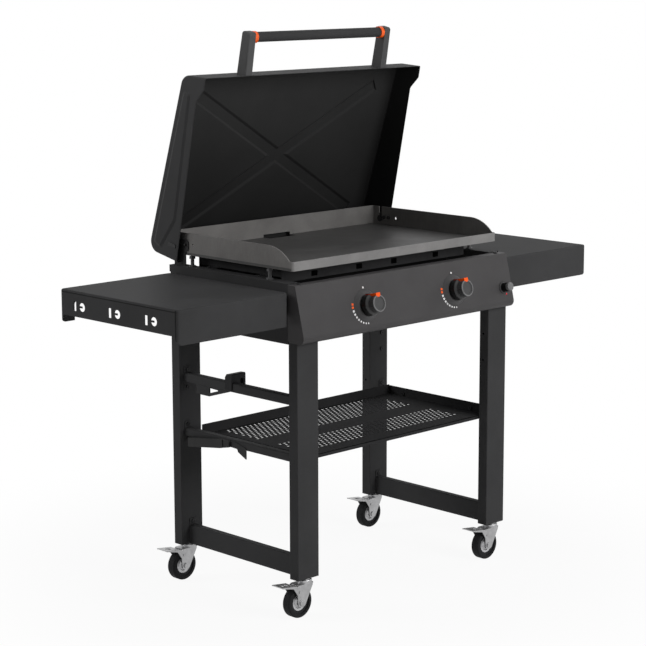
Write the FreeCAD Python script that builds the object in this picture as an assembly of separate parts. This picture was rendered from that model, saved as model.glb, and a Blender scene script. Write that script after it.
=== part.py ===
import FreeCAD, Part
import math
import os

V = FreeCAD.Vector
os.makedirs("parts", exist_ok=True)

# Outdoor gas griddle station, millimetres, X to the right, -Y to the user, Z up.
# The frame stands on z = 0 and is centred on x = 0 between the legs.

# Griddle plate
plate_w = 711.0
plate_d = 438.0
plate_t = 6.0
plate_z = 824.0
guard_t = 3.0
guard_h = 54.0
lip_h = 22.0
guard_curve_in = 86.0
guard_curve_r = 100.0
plate_corner_r = 8.0
plate_hw = plate_w / 2
plate_hd = plate_d / 2
guard_top = plate_z + guard_h
lip_top = plate_z + lip_h
guard_curve_y = guard_curve_in - plate_hd

# Legs and frame, set round the plate
frame_over_plate = 12.8
front_over_plate = 26.0
rear_in_plate = 15.4
leg_w = 68.0
leg_d = 29.3
leg_t = 1.5
leg_r = 2.0
leg_bottom_z = 92.0
front_leg_drop = 105.0
rail_under_plate = 27.0
rail_h = 17.0
rail_w = 33.3
sheet_t = 1.2
bracket_t = 2.0
leg_x_out = plate_hw + frame_over_plate
leg_x_in = leg_x_out - leg_w
leg_cx = (leg_x_out + leg_x_in) / 2
leg_front_y = -plate_hd - front_over_plate
leg_rear_y = plate_hd - rear_in_plate
front_leg_back = leg_front_y + leg_d
rear_leg_front = leg_rear_y - leg_d
rail_top_z = plate_z - rail_under_plate
rail_z0 = rail_top_z - rail_h
front_leg_top_z = rail_top_z - front_leg_drop

# Control panel
panel_over_leg = 1.7
panel_set_back = 4.5
panel_under_rail = 2.4
panel_tilt = 13.6
panel_face_len = 138.5
panel_roll_r = 15.0
panel_half_w = leg_x_out + panel_over_leg
panel_top_y = leg_front_y + panel_set_back
panel_top_z = rail_top_z - panel_under_rail

# Burners, each behind its knob
burner_x = 155.0
burner_r = 20.0
box_gap = 16.0
box_front_in = 77.0
box_rear_in = 66.5
box_under_plate = 8.0
box_h = 126.0
rim_w = 30.0
rim_front_h = 31.0
box_half_w = leg_x_out - rail_w - box_gap
box_front_y = box_front_in - plate_hd
box_rear_y = plate_hd - box_rear_in
box_z1 = plate_z - box_under_plate
box_z0 = box_z1 - box_h

# Knobs and igniter
knob_x = burner_x
knob_down = 71.0
knob_bezel_r = 39.0
knob_skirt_r = 25.0
knob_grip_r = 20.5
knob_h = 47.0
knob_rib_w = 14.0
knob_rib_top = 25.5
knob_push = 3.0
stem_r = 4.0
igniter_in = 33.0
igniter_x = panel_half_w - igniter_in
igniter_down = 86.0
igniter_push = 4.0

# Lid, drawn closed and then opened about the hinge axis
hinge_in_plate = 32.0
hinge_over_plate = 22.0
lid_open = 78.4
lid_side_room = 15.7
lid_t = 1.2
lid_rim_gap = 1.0
visor_drop = 23.0
lid_front_room = 21.0
lid_lean = 12.0
lid_rear_room = 5.0
lid_slope = 0.109
lid_height = 86.8
lid_corner_r = 28.0
pin_r = 5.0
run_fit = 0.05
side_gap = 0.3
hinge_y = plate_hd - hinge_in_plate
hinge_z = plate_z + hinge_over_plate
lid_half_w = plate_hw + lid_side_room
lid_rim_z = plate_z + lid_rim_gap
lid_visor_z = lid_rim_z - visor_drop
lid_front_y = -plate_hd - lid_front_room
lid_front_top_y = lid_front_y + lid_lean
lid_rear_y = plate_hd + lid_rear_room
lid_top_z0 = lid_rim_z + lid_height

# Handle
bar_reach = 89.0
bar_over_visor = 21.0
bar_r = 12.4
post_x = 222.0
post_t = 21.5
post_half = 14.0
ring_w = 10.5
ring_over = 2.3
bar_y = lid_front_y - bar_reach
bar_z = lid_visor_z + bar_over_visor

# Side shelves
shelf_under_rail = 17.3
shelf_gap = 11.2
shelf_w = 331.5
shelf_front_in = 18.2
shelf_rear_in = 11.5
shelf_front_h = 80.0
shelf_side_h = 60.0
shelf_rear_h = 35.0
shelf_ear_w = 40.0
shelf_edge_r = 4.5
shelf_corner_r = 7.0
shelf_round_r = 14.0
shelf_top_z = rail_top_z - shelf_under_rail
shelf_in_x = leg_x_out + shelf_gap
shelf_out_x = shelf_in_x + shelf_w
shelf_front_y = leg_front_y + shelf_front_in
shelf_rear_y = leg_rear_y - shelf_rear_in

# Bottom shelf and side bars
bar_inset = 13.3
bar_d = 20.0
tray_z = 378.0
tray_gap = 2.0
tray_front_in = 30.0
tray_rear_in = 69.6
tray_flange_h = 24.0
low_bar_drop = 7.0
low_bar_h = 20.0
tank_bar_z = 507.0
tank_bar_h = 23.0
hole_d = 9.0
hole_pitch_x = 24.0
hole_pitch_y = 18.0
bar_out_x = leg_x_out - bar_inset
tray_half_w = bar_out_x - bar_d - tray_gap
tray_front_y = leg_front_y + tray_front_in
tray_rear_y = leg_rear_y - tray_rear_in
low_bar_z = tray_z - low_bar_drop

# Casters
wheel_r = 37.5
wheel_w = 24.0
caster_trail = 24.0
axle_r = 4.0
stem_bolt_r = 5.0


def box(x0, x1, y0, y1, z0, z1):
    x0, x1 = min(x0, x1), max(x0, x1)
    y0, y1 = min(y0, y1), max(y0, y1)
    z0, z1 = min(z0, z1), max(z0, z1)
    return Part.makeBox(x1 - x0, y1 - y0, z1 - z0, V(x0, y0, z0))


def cyl(p, d, r, h):
    return Part.makeCylinder(r, h, V(*p), V(*d))


def cone(p, d, r0, r1, h):
    return Part.makeCone(r0, r1, h, V(*p), V(*d))


def lift(axis, u, v, a):
    if axis == "x":
        return V(a, u, v)
    if axis == "y":
        return V(u, a, v)
    return V(u, v, a)


def travel(axis, h):
    return {"x": V(h, 0, 0), "y": V(0, h, 0), "z": V(0, 0, h)}[axis]


def rounded_wire(axis, pts, radii, a):
    n = len(pts)
    arcs = []
    for i in range(n):
        p = pts[i]
        r = radii[i]
        if r <= 0:
            arcs.append((p, None, p))
            continue
        q0 = pts[i - 1]
        q1 = pts[(i + 1) % n]
        d0 = math.hypot(q0[0] - p[0], q0[1] - p[1])
        d1 = math.hypot(q1[0] - p[0], q1[1] - p[1])
        u0 = ((q0[0] - p[0]) / d0, (q0[1] - p[1]) / d0)
        u1 = ((q1[0] - p[0]) / d1, (q1[1] - p[1]) / d1)
        half = math.acos(max(-1.0, min(1.0, u0[0] * u1[0] + u0[1] * u1[1]))) / 2.0
        back = r / math.tan(half)
        s = (p[0] + u0[0] * back, p[1] + u0[1] * back)
        e = (p[0] + u1[0] * back, p[1] + u1[1] * back)
        bx, by = u0[0] + u1[0], u0[1] + u1[1]
        bl = math.hypot(bx, by)
        reach = r / math.sin(half) - r
        m = (p[0] + bx / bl * reach, p[1] + by / bl * reach)
        arcs.append((s, m, e))
    edges = []
    for i in range(n):
        s, m, e = arcs[i]
        if m is not None:
            edges.append(Part.Arc(lift(axis, s[0], s[1], a), lift(axis, m[0], m[1], a),
                                  lift(axis, e[0], e[1], a)).toShape())
        nxt = arcs[(i + 1) % n][0]
        if math.hypot(nxt[0] - e[0], nxt[1] - e[1]) > 1e-6:
            edges.append(Part.LineSegment(lift(axis, e[0], e[1], a),
                                          lift(axis, nxt[0], nxt[1], a)).toShape())
    return Part.Wire(edges)


def prism(axis, pts, a0, a1, r=0.0):
    radii = r if isinstance(r, (list, tuple)) else [r] * len(pts)
    face = Part.Face(rounded_wire(axis, pts, radii, min(a0, a1)))
    return face.extrude(travel(axis, abs(a1 - a0)))


def rect(u0, u1, v0, v1):
    return [(u0, v0), (u1, v0), (u1, v1), (u0, v1)]


def rprism(axis, u0, u1, v0, v1, a0, a1, r):
    return prism(axis, rect(min(u0, u1), max(u0, u1), min(v0, v1), max(v0, v1)), a0, a1, r)


def tube(axis, u0, u1, v0, v1, a0, a1, r, t):
    u0, u1 = min(u0, u1), max(u0, u1)
    v0, v1 = min(v0, v1), max(v0, v1)
    a0, a1 = min(a0, a1), max(a0, a1)
    outer = rprism(axis, u0, u1, v0, v1, a0, a1, r)
    inner = rprism(axis, u0 + t, u1 - t, v0 + t, v1 - t, a0 - 1, a1 + 1, max(r - t, 0.2))
    return outer.cut(inner)


def fuse(items):
    s = items[0]
    if len(items) > 1:
        s = s.fuse(items[1:])
    return s.removeSplitter()


def cut(s, tools):
    return s.cut(tools)


def mirror_x(s):
    return s.mirror(V(0, 0, 0), V(1, 0, 0))


def save(name, s):
    solids = s.Solids
    if len(solids) == 1:
        s = solids[0]
    else:
        s = Part.makeCompound(solids)
    print(name, len(solids), s.isValid(), round(s.Volume, 1))
    s.exportStep("parts/" + name + ".step")


def save_pair(name, left):
    save(name + "_left", left)
    save(name + "_right", mirror_x(left))


def hex_prism(c, axis, across, a0, a1):
    pts = []
    for i in range(6):
        t = math.radians(60 * i + 30)
        pts.append((c[0] + across / math.sqrt(3) * math.cos(t),
                    c[1] + across / math.sqrt(3) * math.sin(t)))
    return prism(axis, pts, a0, a1)


tilt = math.radians(panel_tilt)
into = (0.0, math.cos(tilt), -math.sin(tilt))
outward = (0.0, -math.cos(tilt), math.sin(tilt))


def on_panel(x, down, off=0.0):
    y = panel_top_y - down * math.sin(tilt) + outward[1] * off
    z = panel_top_z - down * math.cos(tilt) + outward[2] * off
    return (x, y, z)


frame_screws = []


def frame_screw(p, d, head_r=5.0, head_h=3.2, shank=8.0, shank_r=2.5):
    head = cyl(p, d, head_r, head_h)
    back = tuple(-c for c in d)
    body = cyl(p, back, shank_r, shank)
    socket = cyl(tuple(p[i] + d[i] * (head_h - 1.4) for i in range(3)), d, head_r * 0.45, 3.0)
    frame_screws.append(head.fuse(body).cut(socket))


# Legs: folded box sections with a closed foot that takes the caster stem
def leg(y0, y1, top_z):
    s = tube("z", -leg_x_out, -leg_x_in, y0, y1, leg_bottom_z, top_z, leg_r, leg_t)
    foot = rprism("z", -leg_x_out + leg_t, -leg_x_in - leg_t, y0 + leg_t, y1 - leg_t,
                  leg_bottom_z, leg_bottom_z + 3.0, 0.5)
    s = s.fuse(foot).removeSplitter()
    s = s.cut(cyl((-leg_cx, (y0 + y1) / 2, leg_bottom_z - 1), (0, 0, 1), stem_bolt_r, 6))
    return s


leg_screw_r = 2.5
bar_mid_x = bar_out_x - bar_d / 2
screw_z_upper = tank_bar_z + tank_bar_h + 7.0
screw_z_lower = tank_bar_z - 14.0
low_screw_z = low_bar_z + low_bar_h + 9.0
low_screw_z2 = low_bar_z - 9.0
bottom_rail_inset = 24.3
bottom_rail_w = 21.0
bottom_rail_h = 50.0
rail_x_out = leg_x_out - bottom_rail_inset
rail_x_in = rail_x_out - bottom_rail_w
rail_mid_x = (rail_x_out + rail_x_in) / 2
bottom_rail_z0 = leg_bottom_z - 1.0
bottom_rail_z1 = bottom_rail_z0 + bottom_rail_h
panel_screw_zs = {"front": front_leg_top_z - 18.0, "rear": front_leg_top_z + 28.0}
spare_hole_r = 3.0
panel_screw_x = leg_x_out - 12.0


def leg_holes(side, y, inward):
    holes = []
    for z in (low_screw_z, low_screw_z2):
        holes.append(cyl((side * bar_mid_x, y - inward, z), (0, inward, 0), leg_screw_r, 6))
    for z in (screw_z_upper, screw_z_lower):
        holes.append(cyl((side * bar_mid_x, y - inward, z), (0, inward, 0), leg_screw_r, 6))
    holes.append(cyl((side * rail_mid_x, y - inward, bottom_rail_z1 + 8.0), (0, inward, 0),
                     leg_screw_r, 6))
    z = panel_screw_zs["front" if inward < 0 else "rear"]
    holes.append(cyl((side * panel_screw_x, y - inward, z), (0, inward, 0), leg_screw_r, 6))
    return holes


front_leg = leg(leg_front_y, front_leg_back, front_leg_top_z)
rear_leg = leg(rear_leg_front, leg_rear_y, rail_z0)
save("leg_front_left", cut(front_leg, leg_holes(-1, front_leg_back, -1)))
front_spare = [cyl((leg_x_in - 1, leg_front_y + 17.0, z), (1, 0, 0), spare_hole_r, 4)
               for z in (tank_bar_z + 86.0, tank_bar_z + 18.0)]
rear_spare = [cyl((leg_x_in - 1, leg_rear_y - 14.0, low_bar_z + 40.0), (1, 0, 0), spare_hole_r, 4)]
save("leg_front_right", cut(mirror_x(front_leg), leg_holes(1, front_leg_back, -1) + front_spare))
save("leg_rear_left", cut(rear_leg, leg_holes(-1, rear_leg_front, 1)))
save("leg_rear_right", cut(mirror_x(rear_leg), leg_holes(1, rear_leg_front, 1) + rear_spare))


# Bottom rails between front and rear legs, folded open underneath, with end tabs
def end_tab(x0, x1, y, into_leg, z0, z1, screws):
    ya = y
    yb = y - into_leg * bracket_t
    s = rprism("y", x0, x1, z0, z1, ya, yb, 3.0)
    xm = (x0 + x1) / 2
    for z in screws:
        s = s.cut(cyl((xm, y + into_leg, z), (0, -into_leg, 0), leg_screw_r, 5))
        frame_screw((xm, yb, z), (0, -into_leg, 0))
    return s


rail_l = tube("y", -rail_x_out, -rail_x_in, bottom_rail_z0, bottom_rail_z1,
              front_leg_back, rear_leg_front, 4.0, leg_t)
rail_l = rail_l.cut(box(-rail_x_out + 4, -rail_x_in - 4, front_leg_back - 1, rear_leg_front + 1,
                        bottom_rail_z0 - 1, bottom_rail_z0 + leg_t + 0.5))
tab_z1 = bottom_rail_z1 + 16.0
for side, name in ((-1, "bottom_rail_left"), (1, "bottom_rail_right")):
    base = rail_l if side < 0 else mirror_x(rail_l)
    xa, xb = side * rail_x_out, side * rail_x_in
    xa, xb = min(xa, xb), max(xa, xb)
    tabs = [
        end_tab(xa, xb, front_leg_back, -1, bottom_rail_z1 - 6, tab_z1, [bottom_rail_z1 + 8.0]),
        end_tab(xa, xb, rear_leg_front, 1, bottom_rail_z1 - 6, tab_z1, [bottom_rail_z1 + 8.0]),
    ]
    save(name, fuse([base] + tabs))


# Side bars that carry the bottom shelf, and the upper bar for the gas bottle
def side_bar(side, z0, h, screws):
    xa, xb = side * bar_out_x, side * (bar_out_x - bar_d)
    xa, xb = min(xa, xb), max(xa, xb)
    s = tube("y", xa, xb, z0, z0 + h, front_leg_back, rear_leg_front, 4.0, leg_t)
    tabs = []
    for y, d in ((front_leg_back, -1), (rear_leg_front, 1)):
        tabs.append(end_tab(xa, xb, y, d, min(screws) - 8, max(screws) + 8, screws))
    return fuse([s] + tabs)


tray_screw_ys = (tray_front_y + 55.0, tray_rear_y - 54.0)
tray_screw_z = low_bar_z + 13.0


def tray_screw_holes(side):
    x = side * (bar_out_x - bar_d)
    return [cyl((x - side * 3, y, tray_screw_z), (side, 0, 0), leg_screw_r, 8)
            for y in tray_screw_ys]


bar_left = side_bar(-1, low_bar_z, low_bar_h, [low_screw_z, low_screw_z2])
bar_right = side_bar(1, low_bar_z, low_bar_h, [low_screw_z, low_screw_z2])
save("shelf_bar_left", cut(bar_left, tray_screw_holes(-1)))
save("shelf_bar_right", cut(bar_right, tray_screw_holes(1)))

upper_bar = side_bar(-1, tank_bar_z, tank_bar_h, [screw_z_upper, screw_z_lower])
gusset_x = bar_out_x - 3.0
gusset_z = tank_bar_z - 23.5
gusset = prism("x", [(2, tank_bar_z + 1), (83, gusset_z), (130, gusset_z), (130, tank_bar_z + 1)],
               -gusset_x, -gusset_x + 3.0, [0, 6, 6, 0])
gusset = gusset.cut(prism("x", [(46, tank_bar_z - 4), (82, tank_bar_z - 15), (82, tank_bar_z - 2.5)],
                          -gusset_x - 1, -gusset_x + 4, 1.0))
save("tank_bar", fuse([upper_bar, gusset]))

# Hook that saddles the upper bar; its lip takes the collar of the gas bottle
hook_y0, hook_y1 = -5.5, 18.5
hook_x = bar_out_x + 3.0
hook_in_x = hook_x - 45.5
hook_lip_t = 6.0
hook_slot_w = 11.0
hook_top_z = tank_bar_z + 44.5
hook = prism("x", [(hook_y0, tank_bar_z + 5), (hook_y0, hook_top_z), (hook_y1 - 6, hook_top_z - 1),
                   (hook_y1, hook_top_z - 10), (hook_y1, tank_bar_z + 5)],
             -hook_x, -hook_in_x, [1, 3, 4, 4, 1])
hook = hook.cut(rprism("y", -bar_out_x, -bar_out_x + bar_d, tank_bar_z - 20,
                       tank_bar_z + tank_bar_h, hook_y0 - 10, hook_y1 + 10, 3.9))
hook = hook.cut(box(-bar_out_x + bar_d + 2, -hook_in_x + 1, hook_y0 - 1, hook_y1 + 1,
                    tank_bar_z, tank_bar_z + 12))
slot_x1 = -hook_in_x - hook_lip_t
hook = hook.cut(rprism("y", slot_x1 - hook_slot_w, slot_x1, tank_bar_z - 10, tank_bar_z + 32,
                       hook_y0 - 1, hook_y1 + 1, 4.0))
save("tank_hook", hook)

# Rubber bumper and stop plate on the outside of the lower bar that steady the bottle
bumper = prism("x", [(152, low_bar_z - 23), (152, low_bar_z), (114, low_bar_z + 5.5),
                     (33, low_bar_z + 16), (1, low_bar_z + 17), (1, low_bar_z + 1),
                     (33, low_bar_z - 6), (114, low_bar_z - 17.5)],
               -bar_out_x - 9.0, -bar_out_x, [3, 3, 0, 0, 2, 2, 0, 0])
bumper = bumper.cut(prism("x", [(25, low_bar_z - 12), (5, low_bar_z - 8), (5, low_bar_z + 20),
                                (25, low_bar_z + 22)], -bar_out_x - 10, -bar_out_x - 7, 0))
save("tank_bumper", bumper)
stop = prism("x", [(0, low_bar_z + 17), (-20, low_bar_z + 15), (-54, low_bar_z + 6),
                   (-54, low_bar_z - 21), (-25, low_bar_z - 7), (-22, low_bar_z), (0, low_bar_z + 1)],
             -bar_out_x - bracket_t, -bar_out_x, [0, 3, 2, 1, 1, 3, 0])
save("tank_stop", stop)

# Screws that close the unused holes for the bottle bar on the right legs
for z in (screw_z_upper, screw_z_lower):
    frame_screw((bar_mid_x, rear_leg_front, z), (0, -1, 0))
    frame_screw((bar_mid_x, front_leg_back, z), (0, 1, 0))

# Bottom shelf: folded tray with two perforated bands
bands = ((tray_front_y + 49.0, tray_front_y + 141.0), (tray_rear_y - 134.0, tray_rear_y - 14.0))
tray_hole_x = tray_half_w - 64.0
holes = []
for band in bands:
    rows = int((band[1] - band[0]) // hole_pitch_y) + 1
    y_first = (band[0] + band[1]) / 2 - (rows - 1) * hole_pitch_y / 2
    for j in range(rows):
        y = y_first + j * hole_pitch_y
        count = int(2 * tray_hole_x // hole_pitch_x) + 1 - (j % 2)
        x_first = -(count - 1) * hole_pitch_x / 2
        for i in range(count):
            holes.append(V(x_first + i * hole_pitch_x, y, tray_z - sheet_t))
print("tray holes", len(holes))
outline = rounded_wire("z", rect(-tray_half_w, tray_half_w, tray_front_y, tray_rear_y),
                       [2.0] * 4, tray_z - sheet_t)
wires = [outline] + [Part.Wire(Part.makeCircle(hole_d / 2, p)) for p in holes]
floor = Part.makeFace(wires, "Part::FaceMakerBullseye").extrude(V(0, 0, sheet_t))
lip_z = tray_z - 9.0
rear_flange = box(-tray_half_w, tray_half_w, tray_rear_y - sheet_t, tray_rear_y,
                  tray_z - sheet_t, tray_z + tray_flange_h)
right_flange = box(tray_half_w - sheet_t, tray_half_w, tray_front_y + 1, tray_rear_y,
                   tray_z - sheet_t, tray_z + tray_flange_h - 2)
front_lip = box(-leg_x_in + 0.5, leg_x_in - 0.5, tray_front_y, tray_front_y + sheet_t,
                lip_z, tray_z)
left_flange = box(-tray_half_w, -tray_half_w + sheet_t, tray_front_y + 1, tray_rear_y,
                  tray_z - sheet_t, low_bar_z + low_bar_h)
ears = []
for side in (-1, 1):
    for y in tray_screw_ys:
        ears.append(box(side * tray_half_w, side * (bar_out_x - bar_d), y - 14, y + 14,
                        low_bar_z + 7.2, low_bar_z + 18.8))
tray = fuse([floor, rear_flange, right_flange, left_flange, front_lip] + ears)
for side in (-1, 1):
    for y in tray_screw_ys:
        tray = tray.cut(cyl((side * (tray_half_w - 4), y, tray_screw_z), (side, 0, 0),
                            leg_screw_r, 10))
        frame_screw((side * (tray_half_w - sheet_t), y, tray_screw_z), (-side, 0, 0))
save("bottom_shelf", tray)

# Side panels: web between the legs, channel along the top over both legs
rail_front_y = leg_front_y + 9.0
rail_step_y = front_leg_back + 3.2
rail_rear_y = leg_rear_y + 2.4
stud_x = plate_hw - 6.5
stud_ys = (85.0 - plate_hd, plate_hd - 77.0)
shelf_bolt_ys = [shelf_front_y + 76.8 + 130.0 * i for i in range(3)]
shelf_bolt_z = shelf_top_z - 34.7
side_z0 = rail_top_z - 142.0
tongue_z = panel_top_z - sheet_t
side = [
    box(-leg_x_out, -leg_x_out + rail_w, rail_step_y, rail_rear_y, rail_top_z - sheet_t, rail_top_z),
    box(-leg_x_out + rail_w - sheet_t, -leg_x_out + rail_w, rail_step_y, rail_rear_y,
        rail_z0, rail_top_z),
    box(-leg_x_out, -leg_x_out + sheet_t, rail_step_y, rail_rear_y, rail_z0, rail_top_z),
    box(-leg_x_out, -leg_x_out + rail_w, rail_step_y, rail_step_y + sheet_t,
        tongue_z - sheet_t, rail_top_z),
    box(-leg_x_out, -leg_x_out + rail_w, rail_front_y, rail_step_y + sheet_t,
        tongue_z - sheet_t, tongue_z),
    box(-leg_x_out, -leg_x_out + sheet_t, front_leg_back, rear_leg_front, side_z0, rail_top_z),
    box(-leg_x_out, -leg_x_out + 24, front_leg_back, front_leg_back + sheet_t, side_z0, rail_z0),
    box(-leg_x_out, -leg_x_out + 24, rear_leg_front - sheet_t, rear_leg_front, side_z0, rail_z0),
    box(-leg_x_out, -leg_x_out + 16, front_leg_back, rear_leg_front, side_z0, side_z0 + sheet_t),
]
side_panel = fuse(side)
side_tools = []
for y in shelf_bolt_ys:
    side_tools.append(cyl((-leg_x_out - 2, y, shelf_bolt_z), (1, 0, 0), 3.0, 6))
panel_ends = ((front_leg_back, -1, panel_screw_zs["front"]), (rear_leg_front, 1, panel_screw_zs["rear"]))
for y, d, z in panel_ends:
    side_tools.append(cyl((-panel_screw_x, y + d, z), (0, -d, 0), leg_screw_r, 5))
box_tab_ys = (-90.0, 90.0)
box_screw_x = leg_x_out - rail_w + 6.0
for y in box_tab_ys:
    side_tools.append(cyl((-box_screw_x, y, rail_top_z - 3), (0, 0, 1), leg_screw_r, 6))
panel_fix_x = leg_x_out - 23.3
panel_fix_y = leg_front_y + 19.0
side_tools.append(cyl((-panel_fix_x, panel_fix_y, tongue_z - 3), (0, 0, 1), leg_screw_r, 6))
side_panel = cut(side_panel, side_tools)
save_pair("side_panel", side_panel)
for side_sign in (-1, 1):
    for y, d, z in panel_ends:
        frame_screw((side_sign * panel_screw_x, y - d * sheet_t, z), (0, -d, 0))
    frame_screw((side_sign * panel_fix_x, panel_fix_y, panel_top_z), (0, 0, 1))

# Rear panel with the two runners of the grease cup
rear_y1 = leg_rear_y - 1.0
cup_half = 54.0
cup_rail_x0, cup_rail_x1 = cup_half + 3.0, cup_half + 10.0
cup_rail_z = plate_z - 39.4
cup_flange_t = 2.0
cup_len = 80.0
cup_deep = 62.6
cup_y0 = leg_rear_y + 4.4
cup_y1 = cup_y0 + cup_len
rear = [
    box(-leg_x_in, leg_x_in, rear_y1 - sheet_t, rear_y1, box_z0, rail_z0),
    box(-leg_x_in, leg_x_in, rear_y1 - 18, rear_y1, rail_z0 - sheet_t, rail_z0),
    box(-leg_x_in, leg_x_in, rear_y1 - 18, rear_y1, box_z0, box_z0 + sheet_t),
    box(-leg_x_in, -leg_x_in + sheet_t, rear_y1 - 22, rear_y1, box_z0, rail_z0),
    box(leg_x_in - sheet_t, leg_x_in, rear_y1 - 22, rear_y1, box_z0, rail_z0),
]
runner_z = cup_rail_z - cup_flange_t - side_gap
for s in (-1, 1):
    rear.append(box(s * cup_rail_x0, s * (cup_rail_x1 + 2), rear_y1 - sheet_t, cup_y1,
                    runner_z - bracket_t, runner_z))
    rear.append(box(s * (cup_rail_x1 + 0.5), s * (cup_rail_x1 + 2), rear_y1 - sheet_t, cup_y1,
                    runner_z - bracket_t, cup_rail_z + 3))
    rear.append(prism("x", [(rear_y1 - 0.6, runner_z), (rear_y1 - 0.6, runner_z - 26), (cup_y1 - 30, runner_z)],
                      s * (cup_rail_x1 + 0.5), s * (cup_rail_x1 + 2)))
for s in (-1, 1):
    rear.append(box(s * cup_rail_x1, s * (cup_rail_x1 + 2), rear_y1 - sheet_t, rear_y1,
                    rail_z0 - sheet_t, cup_rail_z + 3))
save("rear_panel", fuse(rear))
cup_z0 = cup_rail_z - cup_deep
cup = rprism("z", -cup_half, cup_half, cup_y0, cup_y1 - 6, cup_z0, cup_rail_z, 6.0)
cup = cup.fuse(rprism("z", -cup_rail_x1, cup_rail_x1, cup_y0, cup_y1, cup_rail_z - cup_flange_t,
                      cup_rail_z, 3.0))
cup = cup.cut(rprism("z", -cup_half + sheet_t, cup_half - sheet_t, cup_y0 + sheet_t,
                     cup_y1 - 6 - sheet_t, cup_z0 + sheet_t, cup_rail_z + 1, 4.8))
cup_pull = rprism("z", -20, 20, cup_y1 - 4, cup_y1 + 14, cup_rail_z - cup_flange_t, cup_rail_z, 2.0)
save("grease_cup", fuse([cup, cup_pull]))


# Control panel: top flange, tilted face, rolled lower edge and end cheeks
def panel_pt(down, off=0.0):
    p = on_panel(0, down, off)
    return (p[1], p[2])


face_end = panel_pt(panel_face_len)
flange_y = front_leg_back - side_gap
bottom_flange_y = leg_front_y - 1.0
barrel_r = 10.5
outer_pts = [(flange_y, panel_top_z), (panel_top_y, panel_top_z), face_end,
             (bottom_flange_y, face_end[1])]
inner_pts = [(flange_y, panel_top_z - sheet_t),
             (panel_top_y + sheet_t * math.tan(math.pi / 4 - tilt / 2) , panel_top_z - sheet_t),
             (face_end[0] + sheet_t * (1 + math.sin(tilt)) / math.cos(tilt), face_end[1] + sheet_t),
             (bottom_flange_y, face_end[1] + sheet_t)]
panel_section = outer_pts + list(reversed(inner_pts))
roll_in = panel_roll_r - sheet_t
panel_radii = [0, 3.0, panel_roll_r, 0, 0, roll_in, 1.8, 0]
panel = prism("x", panel_section, -panel_half_w, panel_half_w, panel_radii)
cheek_y = flange_y - 1.0
cheek_pts = [(panel_top_y, panel_top_z), face_end, (cheek_y, face_end[1]), (cheek_y, panel_top_z)]
cheek = prism("x", cheek_pts, -panel_half_w, -panel_half_w + sheet_t, [3.0, panel_roll_r, 6, 0])
panel = fuse([panel, cheek, mirror_x(cheek)])
panel_tools = []
for s in (-1, 1):
    p = on_panel(s * knob_x, knob_down, 5)
    panel_tools.append(cyl(p, into, 9.0, 12))
    panel_tools.append(cyl((s * panel_fix_x, panel_fix_y, panel_top_z - 3), (0, 0, 1), leg_screw_r, 6))
panel_tools.append(cyl(on_panel(igniter_x, igniter_down, 5), into, barrel_r + 0.1, 12))
panel = cut(panel, panel_tools)
save("control_panel", panel)

# Bezels round the knobs
def bezel(x):
    p = on_panel(x, knob_down)
    s = cone(p, outward, knob_bezel_r, knob_bezel_r - 7.0, 8.0)
    inner = cyl(on_panel(x, knob_down, 2.5), outward, knob_skirt_r + 1.5, 10)
    hole = cyl(on_panel(x, knob_down, -1), outward, 9.0, 10)
    return s.cut([inner, hole])


save("bezel_left", bezel(-knob_x))
save("bezel_right", bezel(knob_x))

# Valves, push collars and knobs
valve_back = 40.0
collar_r = 7.5
gland_r = 11.0
collar_off0 = -26.0
collar_off1 = -8.0
vy, vz = on_panel(0, knob_down, -valve_back)[1:]
manifold_z = vz - 22.0
manifold_r = 8.0


def valve(x):
    body = cyl(on_panel(x, knob_down, -valve_back - 12), outward, gland_r, 18)
    gland = cyl(on_panel(x, knob_down, -valve_back + 6), outward, gland_r - 1, 30)
    gland = gland.cut(cyl(on_panel(x, knob_down, -30.0), outward, collar_r + run_fit, 40))
    s = body.fuse(gland)
    neck = cyl((x, vy, manifold_z + 2), (0, 0, 1), 7.5, 20)
    spud = cyl((x, vy, vz), (0, 1, 0), 5.0, 28).fuse(hex_prism((x, vz), "y", 12, vy + 11, vy + 17))
    s = fuse([s, neck, spud])
    s = s.cut(cyl((x - 20, vy, manifold_z), (1, 0, 0), manifold_r, 40))
    s = s.cut(cyl((x, vy + 10, vz), (0, 1, 0), 0.8, 30))
    s = s.cut(cyl(on_panel(x, knob_down, -42.0), outward, stem_r + run_fit, 20))
    return s


def plunger(x):
    s = cyl(on_panel(x, knob_down, collar_off0), outward, collar_r, collar_off1 - collar_off0)
    return s.cut(cyl(on_panel(x, knob_down, collar_off0 - 1), outward, stem_r + run_fit, 30))


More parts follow.
